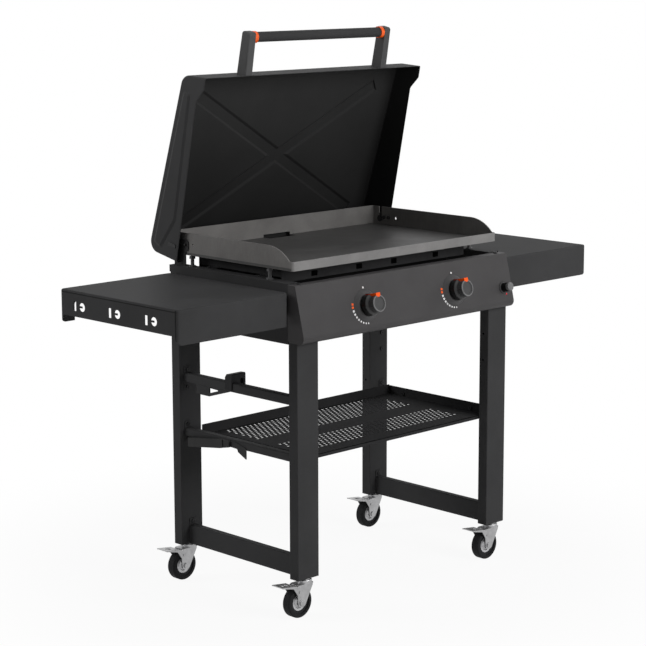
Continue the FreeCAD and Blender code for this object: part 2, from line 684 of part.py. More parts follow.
def knob(x):
    base = 9.0
    s = cyl(on_panel(x, knob_down, base), outward, knob_skirt_r, 16)
    s = s.fuse(cone(on_panel(x, knob_down, base + 16), outward, knob_skirt_r, knob_grip_r + 1, 5))
    s = s.fuse(cyl(on_panel(x, knob_down, base + 21), outward, knob_grip_r, knob_h - base - 21))
    s = s.removeSplitter()
    rim = [e for e in s.Edges if e.Curve.TypeId == "Part::GeomCircle"
           and abs(e.Curve.Radius - knob_grip_r) < 0.01 and e.Length > 100]
    far = on_panel(x, knob_down, knob_h)
    rim = [e for e in rim if (e.Curve.Center - V(*far)).Length < 0.5]
    if rim:
        s = s.makeFillet(2.0, rim)
    s = s.cut(cyl(on_panel(x, knob_down, knob_h - 1.5), outward, knob_grip_r - 5, 5))
    s = s.cut(cyl(on_panel(x, knob_down, base - 1), outward, knob_skirt_r - 3, 13))
    for i in range(24):
        a = math.radians(15 * i + 7.5)
        c = on_panel(x + (knob_grip_r + 0.9) * math.cos(a),
                     knob_down - (knob_grip_r + 0.9) * math.sin(a), 32)
        if abs(a - math.pi / 2) > 0.3:
            s = s.cut(cyl(c, outward, 1.5, 12))
    shaft = cyl(on_panel(x, knob_down, -38.0), outward, stem_r, 60)
    hub = cyl(on_panel(x, knob_down, base - 5), outward, 8.0, 30)
    hub = hub.fuse(cyl(on_panel(x, knob_down, collar_off1 + 0.3), outward, 6.0, 20))
    rib_len = knob_h - 12.5
    rib_foot = knob_grip_r - 3.0
    rib = Part.makeBox(knob_rib_w, rib_len, knob_rib_top - rib_foot, V(-knob_rib_w / 2, -rib_len, 0))
    rib.rotate(V(0, 0, 0), V(1, 0, 0), -panel_tilt)
    rib.translate(V(*on_panel(x, knob_down - rib_foot, 12.0)))
    s = s.fuse([shaft, hub, rib]).removeSplitter()
    return s


for s, name in ((-1, "left"), (1, "right")):
    save("valve_" + name, valve(s * knob_x))
    save("plunger_" + name, plunger(s * knob_x))
    save("knob_" + name, knob(s * knob_x))

# Gas manifold with an elbow at its left end; the hose screws on from below
mani_x = burner_x + 67.0
mani_bore_r = manifold_r - 1.5
hanger_x = burner_x + 45.0
hanger_half = 8.0
foot_z = face_end[1] + sheet_t
elbow_x = -mani_x - 9.0
elbow_y = vy - 14.0
elbow_half = 12.0
elbow_z0 = manifold_z - 10.0
inlet_r = 7.95
inlet_len = 16.0
mani_parts = [
    cyl((-mani_x - 4, vy, manifold_z), (1, 0, 0), manifold_r, 2 * mani_x + 14),
    box(elbow_x - elbow_half, elbow_x + elbow_half, elbow_y - 10, vy + manifold_r + 2, elbow_z0, manifold_z + 10),
    cyl((elbow_x, elbow_y, elbow_z0 - inlet_len), (0, 0, 1), inlet_r, inlet_len + 1),
]
for s in (-1, 1):
    xa, xb = s * hanger_x - hanger_half, s * hanger_x + hanger_half
    mani_parts.append(box(xa, xb, vy - manifold_r - 2, vy + manifold_r + 2,
                          manifold_z - manifold_r - 2, manifold_z + manifold_r + 2))
    mani_parts.append(box(xa, xb, bottom_flange_y - 1, vy - manifold_r - 1, manifold_z - manifold_r - 2,
                          manifold_z - manifold_r))
    mani_parts.append(box(xa, xb, bottom_flange_y - 1, bottom_flange_y + 1, foot_z,
                          manifold_z - manifold_r))
    mani_parts.append(box(xa, xb, bottom_flange_y - 6, bottom_flange_y + 1, foot_z, foot_z + 2))
mani = fuse(mani_parts)
mani_bores = [
    cyl((elbow_x, vy, manifold_z), (1, 0, 0), mani_bore_r, 2 * mani_x + 12),
    cyl((elbow_x, elbow_y, elbow_z0 - inlet_len - 1), (0, 0, 1), 4.0, inlet_len + 11),
    cyl((elbow_x, elbow_y, manifold_z), (0, 1, 0), 4.0, vy - elbow_y),
]
for s in (-1, 1):
    mani_bores.append(cyl((s * knob_x, vy, manifold_z), (0, 0, 1), 3.0, 20))
mani = mani.cut(mani_bores)
save("gas_manifold", mani)

# Igniter: threaded barrel, push button
ign_bore = 9.0


def ign(off):
    return on_panel(igniter_x, igniter_down, off)


barrel = cone(ign(0), outward, 15.0, 12.5, 3.0)
barrel = barrel.fuse(cyl(ign(2), outward, 11.5, 14.5))
barrel = barrel.fuse(cyl(ign(-34), outward, barrel_r, 42))
barrel = barrel.fuse(cyl(ign(-sheet_t - 4), outward, 13.5, 4))
barrel = barrel.removeSplitter()
barrel = barrel.cut(cyl(ign(-14), outward, ign_bore + run_fit, 50))
save("igniter_body", barrel)
cap_z = 16.5 + igniter_push + side_gap
button = cyl(ign(-8), outward, ign_bore, cap_z + 8)
button = button.fuse(cyl(ign(cap_z), outward, 10.8, 6)).removeSplitter()
button = button.cut(cyl(ign(-9), outward, ign_bore - 2, cap_z + 4))
rim = [e for e in button.Edges if e.Curve.TypeId == "Part::GeomCircle"
       and (e.Curve.Center - V(*ign(cap_z + 6))).Length < 0.1]
button = button.makeFillet(2.0, rim)
save("igniter_button", button)

# Burner box: a deep pan whose wide rim folds down into a slotted skirt; it hangs on the side rails
bt = sheet_t
bx = box_half_w
pan_x = bx - rim_w
pan_y0 = box_front_y + rim_w
pan_y1 = box_rear_y - rim_w
rim_z0 = box_z1 - rim_front_h
rim_side_z = rail_top_z + 1.0
pan = box(-pan_x, pan_x, pan_y0, pan_y1, box_z0, box_z1)
rim = box(-bx, bx, box_front_y, box_rear_y, rim_z0, box_z1)
rim = rim.cut(box(-bx + bt, bx - bt, box_front_y + bt, box_rear_y - bt, rim_z0 - 1, box_z1 - bt))
pan = pan.fuse(rim)
burner_z = vz - 13.0 + burner_r
pan_tools = [box(-pan_x + bt, pan_x - bt, pan_y0 + bt, pan_y1 - bt, box_z0 + bt, box_z1 + 1)]
slot_z0 = rim_z0 + 5.5
slot_xs = (burner_x - 94.0, burner_x + 57.0)
for s in (-1, 1):
    pan_tools.append(box(s * (bx - bt - 1), s * (bx + 1), box_front_y + bt, box_rear_y - bt,
                         rim_z0 - 1, rim_side_z))
    for x in slot_xs:
        for y in (box_front_y, box_rear_y - bt):
            pan_tools.append(box(s * x - 10, s * x + 10, y - 1, y + bt + 1, slot_z0, slot_z0 + 13.0))
    pan_tools.append(cyl((s * burner_x, pan_y0 - 2, burner_z), (0, 1, 0), burner_r,
                         pan_y1 - pan_y0 + 4))
    for y in (-70.0, 0.0, 70.0):
        for dx in (-75.0, 75.0):
            pan_tools.append(rprism("z", s * burner_x + dx - 12, s * burner_x + dx + 12, y - 20, y + 20,
                                    box_z0 - 1, box_z0 + 3, 5.0))
pan = pan.cut(pan_tools)
tabs = []
for s in (-1, 1):
    for y in box_tab_ys:
        tabs.append(box(s * (bx - bt), s * (box_screw_x + 6), y - 18, y + 18, rail_top_z, rail_top_z + bt))
pan = fuse([pan] + tabs)
for s in (-1, 1):
    for y in box_tab_ys:
        pan = pan.cut(cyl((s * box_screw_x, y, rail_top_z - 2), (0, 0, 1), leg_screw_r, 6))
        frame_screw((s * box_screw_x, y, rail_top_z + bt), (0, 0, 1), 4.2, 2.6, 6.0)
save("burner_box", pan)


# Tube burners with two rows of ports, throat at the front over the valve spud
def burner(x):
    y0, y1 = pan_y0 - 52.0, pan_y1 + 8.0
    s = cyl((x, y0, burner_z), (0, 1, 0), burner_r, y1 - y0)
    throat_z = vz
    c0 = Part.Wire(Part.makeCircle(13.0, V(x, y0 - 22, throat_z), V(0, 1, 0)))
    c1 = Part.Wire(Part.makeCircle(burner_r, V(x, y0, burner_z), V(0, 1, 0)))
    loft = Part.makeLoft([c0, c1], True)
    throat = cyl((x, y0 - 38, throat_z), (0, 1, 0), 13.0, 16)
    outer = fuse([s, loft, throat])
    si = cyl((x, y0, burner_z), (0, 1, 0), burner_r - bt, y1 - y0 - bt)
    d0 = Part.Wire(Part.makeCircle(13.0 - bt, V(x, y0 - 22, throat_z), V(0, 1, 0)))
    d1 = Part.Wire(Part.makeCircle(burner_r - bt, V(x, y0, burner_z), V(0, 1, 0)))
    li = Part.makeLoft([d0, d1], True)
    ti = cyl((x, y0 - 39, throat_z), (0, 1, 0), 13.0 - bt, 17)
    outer = outer.cut(fuse([si, li, ti]))
    ports = []
    first = pan_y0 + 22.0
    step = (pan_y1 - pan_y0 - 44.0) / 12.0
    for i in range(13):
        for a in (50, 130):
            d = (math.cos(math.radians(a)), 0, math.sin(math.radians(a)))
            ports.append(cyl((x, first + i * step, burner_z), d, 1.5, burner_r + 2))
    return outer.cut(ports)


save("burner_left", burner(-burner_x))
save("burner_right", burner(burner_x))


# Spark electrodes on the floor of the burner box
electrodes = []
for s in (-1, 1):
    ex = s * burner_x + 30.0
    e = cyl((ex, -60, box_z0 + bt), (0, 0, 1), 3.5, 36)
    e = e.fuse(cyl((ex, -60, box_z0 + bt), (0, 0, 1), 6.0, 4))
    e = e.fuse(cyl((ex, -60, box_z0 + bt), (0, 0, 1), 1.2, 48))
    electrodes.append(e.removeSplitter())
save("electrodes", Part.makeCompound(electrodes))

# Griddle plate: thick base, guards on four sides, drain at the rear, chute below it
outer = rprism("z", -plate_hw, plate_hw, -plate_hd, plate_hd, plate_z, guard_top, plate_corner_r)
inner = rprism("z", -plate_hw + guard_t, plate_hw - guard_t, -plate_hd + guard_t,
               plate_hd - guard_t, plate_z + plate_t, guard_top + 1, plate_corner_r - guard_t)
plate = outer.cut(inner)
arc_c = (guard_curve_y, guard_top - guard_curve_r)
drop = guard_h - lip_h
y_hit = guard_curve_y - math.sqrt(guard_curve_r ** 2 - (guard_curve_r - drop) ** 2)
mid_a = 0.5 * math.acos((guard_curve_r - drop) / guard_curve_r)
y_mid = guard_curve_y - guard_curve_r * math.sin(mid_a)
z_mid = arc_c[1] + guard_curve_r * math.cos(mid_a)
x0 = -plate_hw - 5
curve = Part.Arc(V(x0, guard_curve_y, guard_top), V(x0, y_mid, z_mid), V(x0, y_hit, lip_top)).toShape()
loop = [V(x0, y_hit, lip_top), V(x0, -plate_hd - 5, lip_top), V(x0, -plate_hd - 5, guard_top + 5),
        V(x0, guard_curve_y, guard_top + 5), V(x0, guard_curve_y, guard_top)]
edges = [curve] + [Part.LineSegment(loop[i], loop[i + 1]).toShape() for i in range(4)]
trim = Part.Face(Part.Wire(Part.__sortEdges__(edges))).extrude(V(plate_w + 10, 0, 0))
plate = plate.cut(trim)
drain_half = 46.0
drain_d = 24.0
drain_up = 7.0
inside_y = plate_hd - guard_t
cook_z = plate_z + plate_t
plate = plate.cut(box(-drain_half, drain_half, inside_y - drain_d, inside_y, plate_z - 1, cook_z + 1))
plate = plate.cut(box(-drain_half, drain_half, inside_y - 1, plate_hd + 1, plate_z - 1, cook_z + drain_up))
chute_half = drain_half + 6.0
mouth_y = plate_hd + 39.0
mouth_z = plate_z - 31.0
hood_z = cook_z + drain_up + 5.0
chute_y0 = inside_y - drain_d - 4.0
ct = bracket_t
chute_out = prism("x", [(chute_y0, plate_z), (chute_y0, plate_z - 11), (mouth_y - 12, mouth_z),
                        (mouth_y, mouth_z), (mouth_y, mouth_z + 6), (plate_hd + 9, plate_z - 12),
                        (plate_hd + 9, hood_z - 4), (plate_hd, hood_z)],
                  -chute_half, chute_half)
chute_out = chute_out.cut(box(-drain_half, drain_half, inside_y - drain_d, plate_hd, plate_z, hood_z + 1))
chute_in = prism("x", [(chute_y0 + ct, plate_z + 1), (chute_y0 + ct, plate_z - 9),
                       (mouth_y - 11, mouth_z + ct), (mouth_y + 2, mouth_z + ct),
                       (mouth_y + 2, mouth_z + 4), (plate_hd + 7, plate_z - 13),
                       (plate_hd + 7, hood_z - 5.5), (plate_hd - 0.5, hood_z - 2.5),
                       (plate_hd - 0.5, plate_z + 1)],
                 -chute_half + ct, chute_half - ct)
chute = chute_out.cut(chute_in)
lower = box(-chute_half - 1, chute_half + 1, chute_y0 - 1, plate_hd, plate_z, hood_z + 1)
plate = plate.fuse(chute.cut(lower)).removeSplitter()
pin_hole = pin_r + run_fit
hinge_screw_ys = (hinge_y - 31.0, hinge_y - 15.0)
hinge_screw_up = 4.0
vent_y = hinge_y - 56.0
vent_r = 3.5
for s in (-1, 1):
    xg = s * (plate_hw - guard_t - 1)
    plate = plate.cut(cyl((xg, hinge_y, hinge_z), (s, 0, 0), pin_hole, guard_t + 2))
    plate = plate.cut(box(xg, xg + s * (guard_t + 2), hinge_y - pin_hole, hinge_y + pin_hole,
                          hinge_z, guard_top + 1))
    for y in hinge_screw_ys:
        plate = plate.cut(cyl((xg, y, hinge_z + hinge_screw_up), (s, 0, 0), leg_screw_r, guard_t + 2))
        frame_screw((s * (plate_hw - guard_t), y, hinge_z + hinge_screw_up), (-s, 0, 0), 4.5, 2.8, 9.5)
    plate = plate.cut(cyl((xg, vent_y, hinge_z + hinge_screw_up), (s, 0, 0), vent_r, guard_t + 2))
save("griddle_plate", plate)

# Weld studs with foot pads that carry the plate on the side channels
feet = []
for sx in (-1, 1):
    for y in stud_ys:
        f = cyl((sx * stud_x, y, rail_top_z), (0, 0, 1), 8.0, 3.0)
        f = f.fuse(cyl((sx * stud_x, y, rail_top_z), (0, 0, 1), 4.5, plate_z - rail_top_z))
        f = f.fuse(hex_prism((sx * stud_x, y), "z", 13, plate_z - 8, plate_z - 2))
        feet.append(f.removeSplitter())
save("plate_feet", Part.makeCompound(feet))

# Hinge plates outside the guards, their feet on the side rails
hp = rprism("x", hinge_y - 40, hinge_y + 14, hinge_z - 13, hinge_z + 16, -plate_hw - bracket_t, -plate_hw, 8.0)
hp = hp.fuse(rprism("x", hinge_y - 30, hinge_y + 12, rail_top_z, hinge_z, -plate_hw - bracket_t,
                    -plate_hw, 2.0)).removeSplitter()
hp = hp.cut(cyl((-plate_hw - 4, hinge_y, hinge_z), (1, 0, 0), pin_hole, 8))
for y in hinge_screw_ys:
    hp = hp.cut(cyl((-plate_hw - 4, y, hinge_z + hinge_screw_up), (1, 0, 0), leg_screw_r, 8))
save_pair("hinge_plate", hp)


def opened(s):
    s = s.copy()
    s.rotate(V(0, hinge_y, hinge_z), V(1, 0, 0), -lid_open)
    return s


# Lid: tapered shell with a deeper visor at the front and an open rear below the top
def lid_top(y):
    return lid_top_z0 + lid_slope * y


front_lean = (lid_front_top_y - lid_front_y) / (lid_top(lid_front_top_y) - lid_visor_z)


def wall_y(z):
    return lid_front_y + front_lean * (z - lid_visor_z)


lid_pts = [(lid_rear_y, lid_rim_z), (lid_rear_y, lid_top(lid_rear_y)),
           (lid_front_top_y, lid_top(lid_front_top_y)), (lid_front_y, lid_visor_z),
           (lid_front_y + 32, lid_visor_z), (lid_front_y + 65, lid_rim_z)]
lid_outer = prism("x", lid_pts, -lid_half_w, lid_half_w, [0, lid_corner_r, lid_corner_r, 2, 6, 12])
long_edges = [e for e in lid_outer.Edges if min(v.Z for v in e.Vertexes) > lid_rim_z + 20
              and abs(abs(e.Vertexes[0].X) - lid_half_w) < 0.01
              and abs(e.Vertexes[0].X - e.Vertexes[-1].X) < 0.01]
lid_edge_r = 5.0
lid_outer = lid_outer.makeFillet(lid_edge_r, long_edges)
ti = lid_t
in_top = lid_t * math.sqrt(1 + lid_slope ** 2)
in_front = lid_t * math.sqrt(1 + front_lean ** 2)
z_rt = lid_top(lid_rear_y - ti) - in_top
inner_front_y = lid_front_top_y + in_front - front_lean * in_top
lid_cut_z = lid_visor_z - 22.0
lid_in_pts = [(lid_rear_y - ti, lid_cut_z), (lid_rear_y - ti, z_rt),
              (inner_front_y, lid_top(inner_front_y) - in_top),
              (wall_y(lid_cut_z) + in_front, lid_cut_z)]
lid_inner = prism("x", lid_in_pts, -lid_half_w + ti, lid_half_w - ti,
                  [0, lid_corner_r - ti, lid_corner_r - ti, 0])
inner_edges = [e for e in lid_inner.Edges if min(v.Z for v in e.Vertexes) > lid_rim_z + 20
               and abs(abs(e.Vertexes[0].X) - lid_half_w + ti) < 0.01
               and abs(e.Vertexes[0].X - e.Vertexes[-1].X) < 0.01]
lid_inner = lid_inner.makeFillet(lid_edge_r - ti, inner_edges)
shell = lid_outer.cut(lid_inner)
rear_open_z = lid_rim_z + 59.0
rear_open_x = lid_half_w - 12.0
shell = shell.cut(rprism("y", -rear_open_x, rear_open_x, lid_rim_z - 90, rear_open_z,
                         lid_rear_y - 8, lid_rear_y + 4, 8.0))
roof_angle = math.degrees(math.atan(lid_slope))


def roof_arms(foot_w, foot_z, crest_w, crest_z, reach):
    """Two crossing bars on the lid's roof, measured from its outer face."""
    arms = []
    for turn in (-arm_angle, arm_angle):
        bar = prism("x", [(-foot_w / 2, foot_z), (-crest_w / 2, crest_z), (crest_w / 2, crest_z),
                          (foot_w / 2, foot_z)], -reach, reach)
        bar.rotate(V(0, 0, 0), V(0, 0, 1), turn)
        bar.rotate(V(0, 0, 0), V(1, 0, 0), roof_angle)
        bar.translate(V(0, arm_y, lid_top(arm_y)))
        arms.append(bar)
    return arms[0].fuse(arms[1])


arm_angle = 30.0
arm_y = 4.4
arm_reach = 352.0
arm_h = 4.0
arm_foot_w = 37.0
arm_crest_w = 25.0
arm_grade = (arm_foot_w - arm_crest_w) / arm_h
arm_in_w = arm_foot_w - 2 * lid_t * math.sqrt(1 + arm_grade ** 2 / 4)
shell = shell.fuse(roof_arms(arm_foot_w + 0.4 * arm_grade, -0.4, arm_crest_w, arm_h, arm_reach))
shell = shell.cut(roof_arms(arm_in_w + 1.7 * arm_grade, -1.7, arm_in_w - (arm_h - lid_t) * arm_grade,
                            arm_h - lid_t, arm_reach - lid_t))
emb_y0 = lid_front_y + 53
emb_z0 = lid_rim_z + 28
emb_h = 3.0
emb_pts = [(emb_y0, emb_z0), (hinge_y - 63, emb_z0 - 2), (hinge_y + 17, emb_z0 + 39),
           (hinge_y + 9, emb_z0 + 61), (emb_y0, emb_z0 + 19)]


def emb_wire(grow, x):
    face = Part.Face(rounded_wire("x", emb_pts, [5, 6, 5, 5, 5], x))
    return face.makeOffset2D(grow).OuterWire


emboss = Part.makeLoft([emb_wire(5.0, -lid_half_w + 0.4), emb_wire(-3.0, -lid_half_w - emb_h)], True, True)
shell = fuse([shell, emboss, mirror_x(emboss)])
shell = shell.cut(cyl((-lid_half_w - 4, hinge_y, hinge_z), (1, 0, 0), pin_r, 2 * lid_half_w + 8))
save("lid_shell", opened(shell))

# Hinge pins: head inside the guard, collar, shank through the lid wall, oblong end
collar_in = plate_hw + bracket_t + side_gap
pins = []
for s in (-1, 1):
    head_x = plate_hw - guard_t - side_gap
    p = cyl((s * (head_x - 2.5), hinge_y, hinge_z), (s, 0, 0), 8.5, 2.5)
    p = p.fuse(cyl((s * (head_x - 2.5), hinge_y, hinge_z), (s, 0, 0), pin_r,
                   lid_half_w - head_x + 2.5 + 1.5))
    p = p.fuse(cyl((s * collar_in, hinge_y, hinge_z), (s, 0, 0), 8.0, lid_half_w - lid_t - collar_in))
    p = p.fuse(rprism("x", hinge_y - 4.5, hinge_y + 4.5, hinge_z - 10, hinge_z + 16,
                      s * lid_half_w, s * (lid_half_w + 2.0), 4.4))
    pins.append(p.removeSplitter())
save("hinge_pins", opened(Part.makeCompound(pins)))

# Handle posts, bar and collar rings
root_z0, root_z1 = lid_visor_z + 3.0, lid_visor_z + 36.0
post = prism("x", [(wall_y(root_z0), root_z0), (wall_y(root_z1), root_z1), (bar_y - post_half, bar_z + post_half),
                   (bar_y - post_half, bar_z - post_half)], -post_x - post_t, -post_x, [0, 0, 7, 7])
post_edges = [e for e in post.Edges if abs(abs(e.Vertexes[0].X) - post_x - post_t) < 0.01
              and abs(e.Vertexes[0].X - e.Vertexes[-1].X) < 0.01
              and min(v.Y for v in e.Vertexes) < wall_y(root_z0) - 8]
post = post.makeFillet(4.0, post_edges)
socket = 9.0
post = post.cut(cyl((-post_x - socket, bar_y, bar_z), (1, 0, 0), bar_r, 40))
save("handle_post_left", opened(post))
save("handle_post_right", opened(mirror_x(post)))
bar_half = post_x + socket
bar = cyl((-bar_half, bar_y, bar_z), (1, 0, 0), bar_r, 2 * bar_half)
bar = bar.cut(cyl((-bar_half - 1, bar_y, bar_z), (1, 0, 0), bar_r - 1.5, 2 * bar_half + 2))
save("handle_bar", opened(bar))
rings = []
for s in (-1, 1):
    r = cyl((s * (post_x - ring_w), bar_y, bar_z), (s, 0, 0), bar_r + ring_over, ring_w)
    rings.append(r.cut(cyl((s * (post_x - ring_w - 1), bar_y, bar_z), (s, 0, 0), bar_r, ring_w + 2)))
save("handle_rings", opened(Part.makeCompound(rings)))


# Side shelves: inverted trays; the left one has lanced tool hooks in its end skirt
def shelf():
    top = shelf_top_z
    z0 = top - shelf_front_h
    t = sheet_t
    r = shelf_corner_r
    s = rprism("z", -shelf_out_x, -shelf_in_x, shelf_front_y, shelf_rear_y, z0, top, r)
    crest = [e for e in s.Edges if all(abs(v.Z - top) < 0.01 for v in e.Vertexes)]
    s = s.makeFillet(shelf_edge_r, crest)
    c = rprism("z", -shelf_out_x + t, -shelf_in_x - t, shelf_front_y + t, shelf_rear_y - t,
               z0 - 1, top - t, r - t)
    crest = [e for e in c.Edges if all(abs(v.Z - (top - t)) < 0.01 for v in e.Vertexes)]
    c = c.makeFillet(shelf_edge_r - t, crest)
    s = s.cut(c)
    low = top - shelf_side_h
    s = s.cut(rprism("x", shelf_front_y + r, shelf_rear_y - r, z0 - 30, low,
                     -shelf_out_x - 5, -shelf_in_x + 5, 8.0))
    s = s.cut(rprism("y", -shelf_out_x + shelf_ear_w, -shelf_in_x + 20, z0 - 30, top - shelf_rear_h,
                     shelf_rear_y - r - 1, shelf_rear_y + 5, 8.0))
    q = shelf_round_r
    corner = box(-shelf_out_x - 1, -shelf_out_x + q, shelf_front_y - 1, shelf_rear_y + 1, z0 - 1, z0 + q)
    corner = corner.cut(cyl((-shelf_out_x + q, shelf_front_y - 2, z0 + q), (0, 1, 0), q,
                            shelf_rear_y - shelf_front_y + 4))
    s = s.cut(corner)
    for y in shelf_bolt_ys:
        s = s.cut(cyl((-shelf_in_x - 4, y, shelf_bolt_z), (1, 0, 0), 3.0, 8))
    return s


blank = shelf()
save("shelf_right", mirror_x(blank))
left = blank
tool_pitch = 128.8
tool_slot_w = 9.0
tool_slot_h = 22.5
tool_eye_r = 10.2
tool_eye_in = 26.8
tool_z = shelf_top_z - 35.2
tool_ys = [shelf_rear_y - 55.0 - tool_pitch * i for i in range(3)]
skin_x = -shelf_out_x
for y in tool_ys:
    left = left.cut(rprism("x", y - tool_slot_w / 2, y + tool_slot_w / 2, tool_z - tool_slot_h / 2,
                           tool_z + tool_slot_h / 2, skin_x - 3, skin_x + 3, 1.5))
    left = left.cut(cyl((skin_x - 3, y - tool_eye_in, tool_z), (1, 0, 0), tool_eye_r, 6))
hooks = []
for y in tool_ys:
    eye_y = y - tool_eye_in
    hooks.append(rprism("x", eye_y - 1, eye_y + tool_eye_r + 1, tool_z - 2.3, tool_z + 2.3,
                        skin_x, skin_x + sheet_t, 0.5))
left = fuse([left] + hooks)
save("shelf_left", left)

# Shoulder bolts that hold the shelves off the side panels
bolts = []
for s in (-1, 1):
    for y in shelf_bolt_ys:
        b = cyl((s * leg_x_out, y, shelf_bolt_z), (s, 0, 0), 7.0, shelf_in_x - leg_x_out)
        b = b.fuse(cyl((s * (leg_x_out - 8), y, shelf_bolt_z), (s, 0, 0), 3.0,
                       shelf_in_x - leg_x_out + 8 + 4))
        b = b.fuse(hex_prism((y, shelf_bolt_z), "x", 10, s * (shelf_in_x + sheet_t),
                             s * (shelf_in_x + sheet_t + 5)))
        bolts.append(b.removeSplitter())
save("shelf_bolts", Part.makeCompound(bolts))
save("frame_screws", Part.makeCompound(frame_screws))

# Casters
leg_centres = {
    "front_left": (-leg_cx, (leg_front_y + front_leg_back) / 2),
    "front_right": (leg_cx, (leg_front_y + front_leg_back) / 2),
    "rear_left": (-leg_cx, (rear_leg_front + leg_rear_y) / 2),
    "rear_right": (leg_cx, (rear_leg_front + leg_rear_y) / 2),
}
race_z1 = leg_bottom_z - 2.3
race_z0 = race_z1 - 10.7
fork_half = 16.0
fork_t = 2.0
pedal_x, pedal_z = -32.0, 66.0
stems = []
for cx, cy in leg_centres.values():
    s = cyl((cx, cy, race_z0 - side_gap - 2.7), (0, 0, 1), 9.0, 2.7)
    s = s.fuse(cyl((cx, cy, race_z0 - side_gap - 2.7), (0, 0, 1), stem_bolt_r, 42))
    s = s.fuse(cyl((cx, cy, race_z1 + side_gap), (0, 0, 1), 14.0, leg_bottom_z - race_z1 - side_gap))
    s = s.fuse(hex_prism((cx, cy), "z", 17, leg_bottom_z + 3, leg_bottom_z + 11))
    stems.append(s.removeSplitter())
save("caster_stems", Part.makeCompound(stems))


def fork(cx, cy):
    race = cyl((0, 0, race_z0), (0, 0, 1), 18.0, race_z1 - race_z0)
    edge = [e for e in race.Edges if e.Curve.TypeId == "Part::GeomCircle"
            and abs(e.Curve.Center.z - race_z1) < 0.01]
    race = race.makeFillet(3.0, edge)
    crown = rprism("z", -34, 16, -fork_half, fork_half, race_z0, race_z0 + 2.5, 5.0)
    items = [race, crown]
    ax = -caster_trail
    for s in (-1, 1):
        ya, yb = s * (fork_half - fork_t), s * fork_half
        arm = prism("y", [(14, race_z0 + 1), (-34, race_z0 + 1), (-38, 66), (ax - 10, wheel_r - 10),
                          (ax + 10, wheel_r - 10)], ya, yb, [3, 3, 8, 9.9, 9.9])
        items.append(arm)
        items.append(cyl((pedal_x, s * fork_half, pedal_z), (0, s, 0), 3.0, 3.8))
        items.append(cyl((ax, s * fork_half, wheel_r), (0, s, 0), 6.5, 3.0))
    items.append(cyl((ax, -fork_half, wheel_r), (0, 1, 0), axle_r, 2 * fork_half))
    f = fuse(items)
    f = f.cut(cyl((0, 0, race_z0 - 2), (0, 0, 1), stem_bolt_r + run_fit, 20))
    f.translate(V(cx, cy, 0))
    return f


def wheel(cx, cy):
    hw = wheel_w / 2
    ax = -caster_trail
    s = cyl((ax, -hw, wheel_r), (0, 1, 0), wheel_r, wheel_w)
    rims = [e for e in s.Edges if e.Curve.TypeId == "Part::GeomCircle"]
    s = s.makeFillet(4.0, rims)
    for k in (-1, 1):
        ring = cyl((ax, k * hw, wheel_r), (0, -k, 0), wheel_r - 9, 5)
        s = s.cut(ring)
        s = s.fuse(cone((ax, k * (hw - 5), wheel_r), (0, k, 0), 15, 11, 4))
        s = s.fuse(cyl((ax, k * (hw - 5), wheel_r), (0, k, 0), 8.0, 6.5))
    s = s.removeSplitter()
    s = s.cut(cyl((ax, -hw - 5, wheel_r), (0, 1, 0), axle_r + run_fit, wheel_w + 10))
    s.translate(V(cx, cy, 0))
    return s


def brake(cx, cy):
    y_in = fork_half + 0.6
    y_out = y_in + 2.0
    items = []
    side_pts = [(pedal_x + 6, pedal_z - 6), (pedal_x + 6, pedal_z + 8), (-44, 83), (-88, 88.6),
                (-88, 86), (-52, 78), (pedal_x - 8, pedal_z - 6)]
    for s in (-1, 1):
        c = prism("y", side_pts, s * y_in, s * y_out, [5, 3, 3, 0, 0, 4, 5])
        items.append(c)
    web = prism("y", [(-44, 83.0), (-88, 88.6), (-88, 86.6), (-44, 81.0)], -y_out, y_out, 0)
    web = web.cut(rprism("z", -76, -56, -6, 6, 70, 100, 5.9))
    items.append(web)
    shoe = prism("y", [(-40.6, 74.6), (-44.2, 73.4), (-52, 83.9), (-46, 83.2)], -8, 8, [1.7, 1.7, 0, 0])
    items.append(shoe)
    b = fuse(items)
    b = b.cut(cyl((pedal_x, -30, pedal_z), (0, 1, 0), 3.0 + run_fit, 60))
    b.translate(V(cx, cy, 0))
    return b


for name, (cx, cy) in leg_centres.items():
    save("caster_fork_" + name, fork(cx, cy))
    save("caster_wheel_" + name, wheel(cx, cy))
    save("caster_brake_" + name, brake(cx, cy))
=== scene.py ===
import bmesh
import bpy
import math
from itertools import product
from mathutils import Matrix, Vector


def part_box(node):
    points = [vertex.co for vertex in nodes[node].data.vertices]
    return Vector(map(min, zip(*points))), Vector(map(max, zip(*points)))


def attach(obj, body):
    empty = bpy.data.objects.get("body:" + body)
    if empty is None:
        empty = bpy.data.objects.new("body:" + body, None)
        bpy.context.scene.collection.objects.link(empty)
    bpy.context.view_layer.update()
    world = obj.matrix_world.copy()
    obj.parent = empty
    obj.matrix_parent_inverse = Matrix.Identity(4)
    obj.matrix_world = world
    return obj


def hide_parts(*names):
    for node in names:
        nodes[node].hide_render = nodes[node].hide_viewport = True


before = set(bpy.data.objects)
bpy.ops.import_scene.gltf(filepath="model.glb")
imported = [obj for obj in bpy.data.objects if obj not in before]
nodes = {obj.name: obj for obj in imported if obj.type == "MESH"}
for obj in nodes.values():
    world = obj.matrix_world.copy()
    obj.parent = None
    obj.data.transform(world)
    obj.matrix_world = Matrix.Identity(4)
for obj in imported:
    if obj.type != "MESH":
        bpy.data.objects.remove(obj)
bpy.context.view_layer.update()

# All lengths are in metres, and all places are those of the part at rest

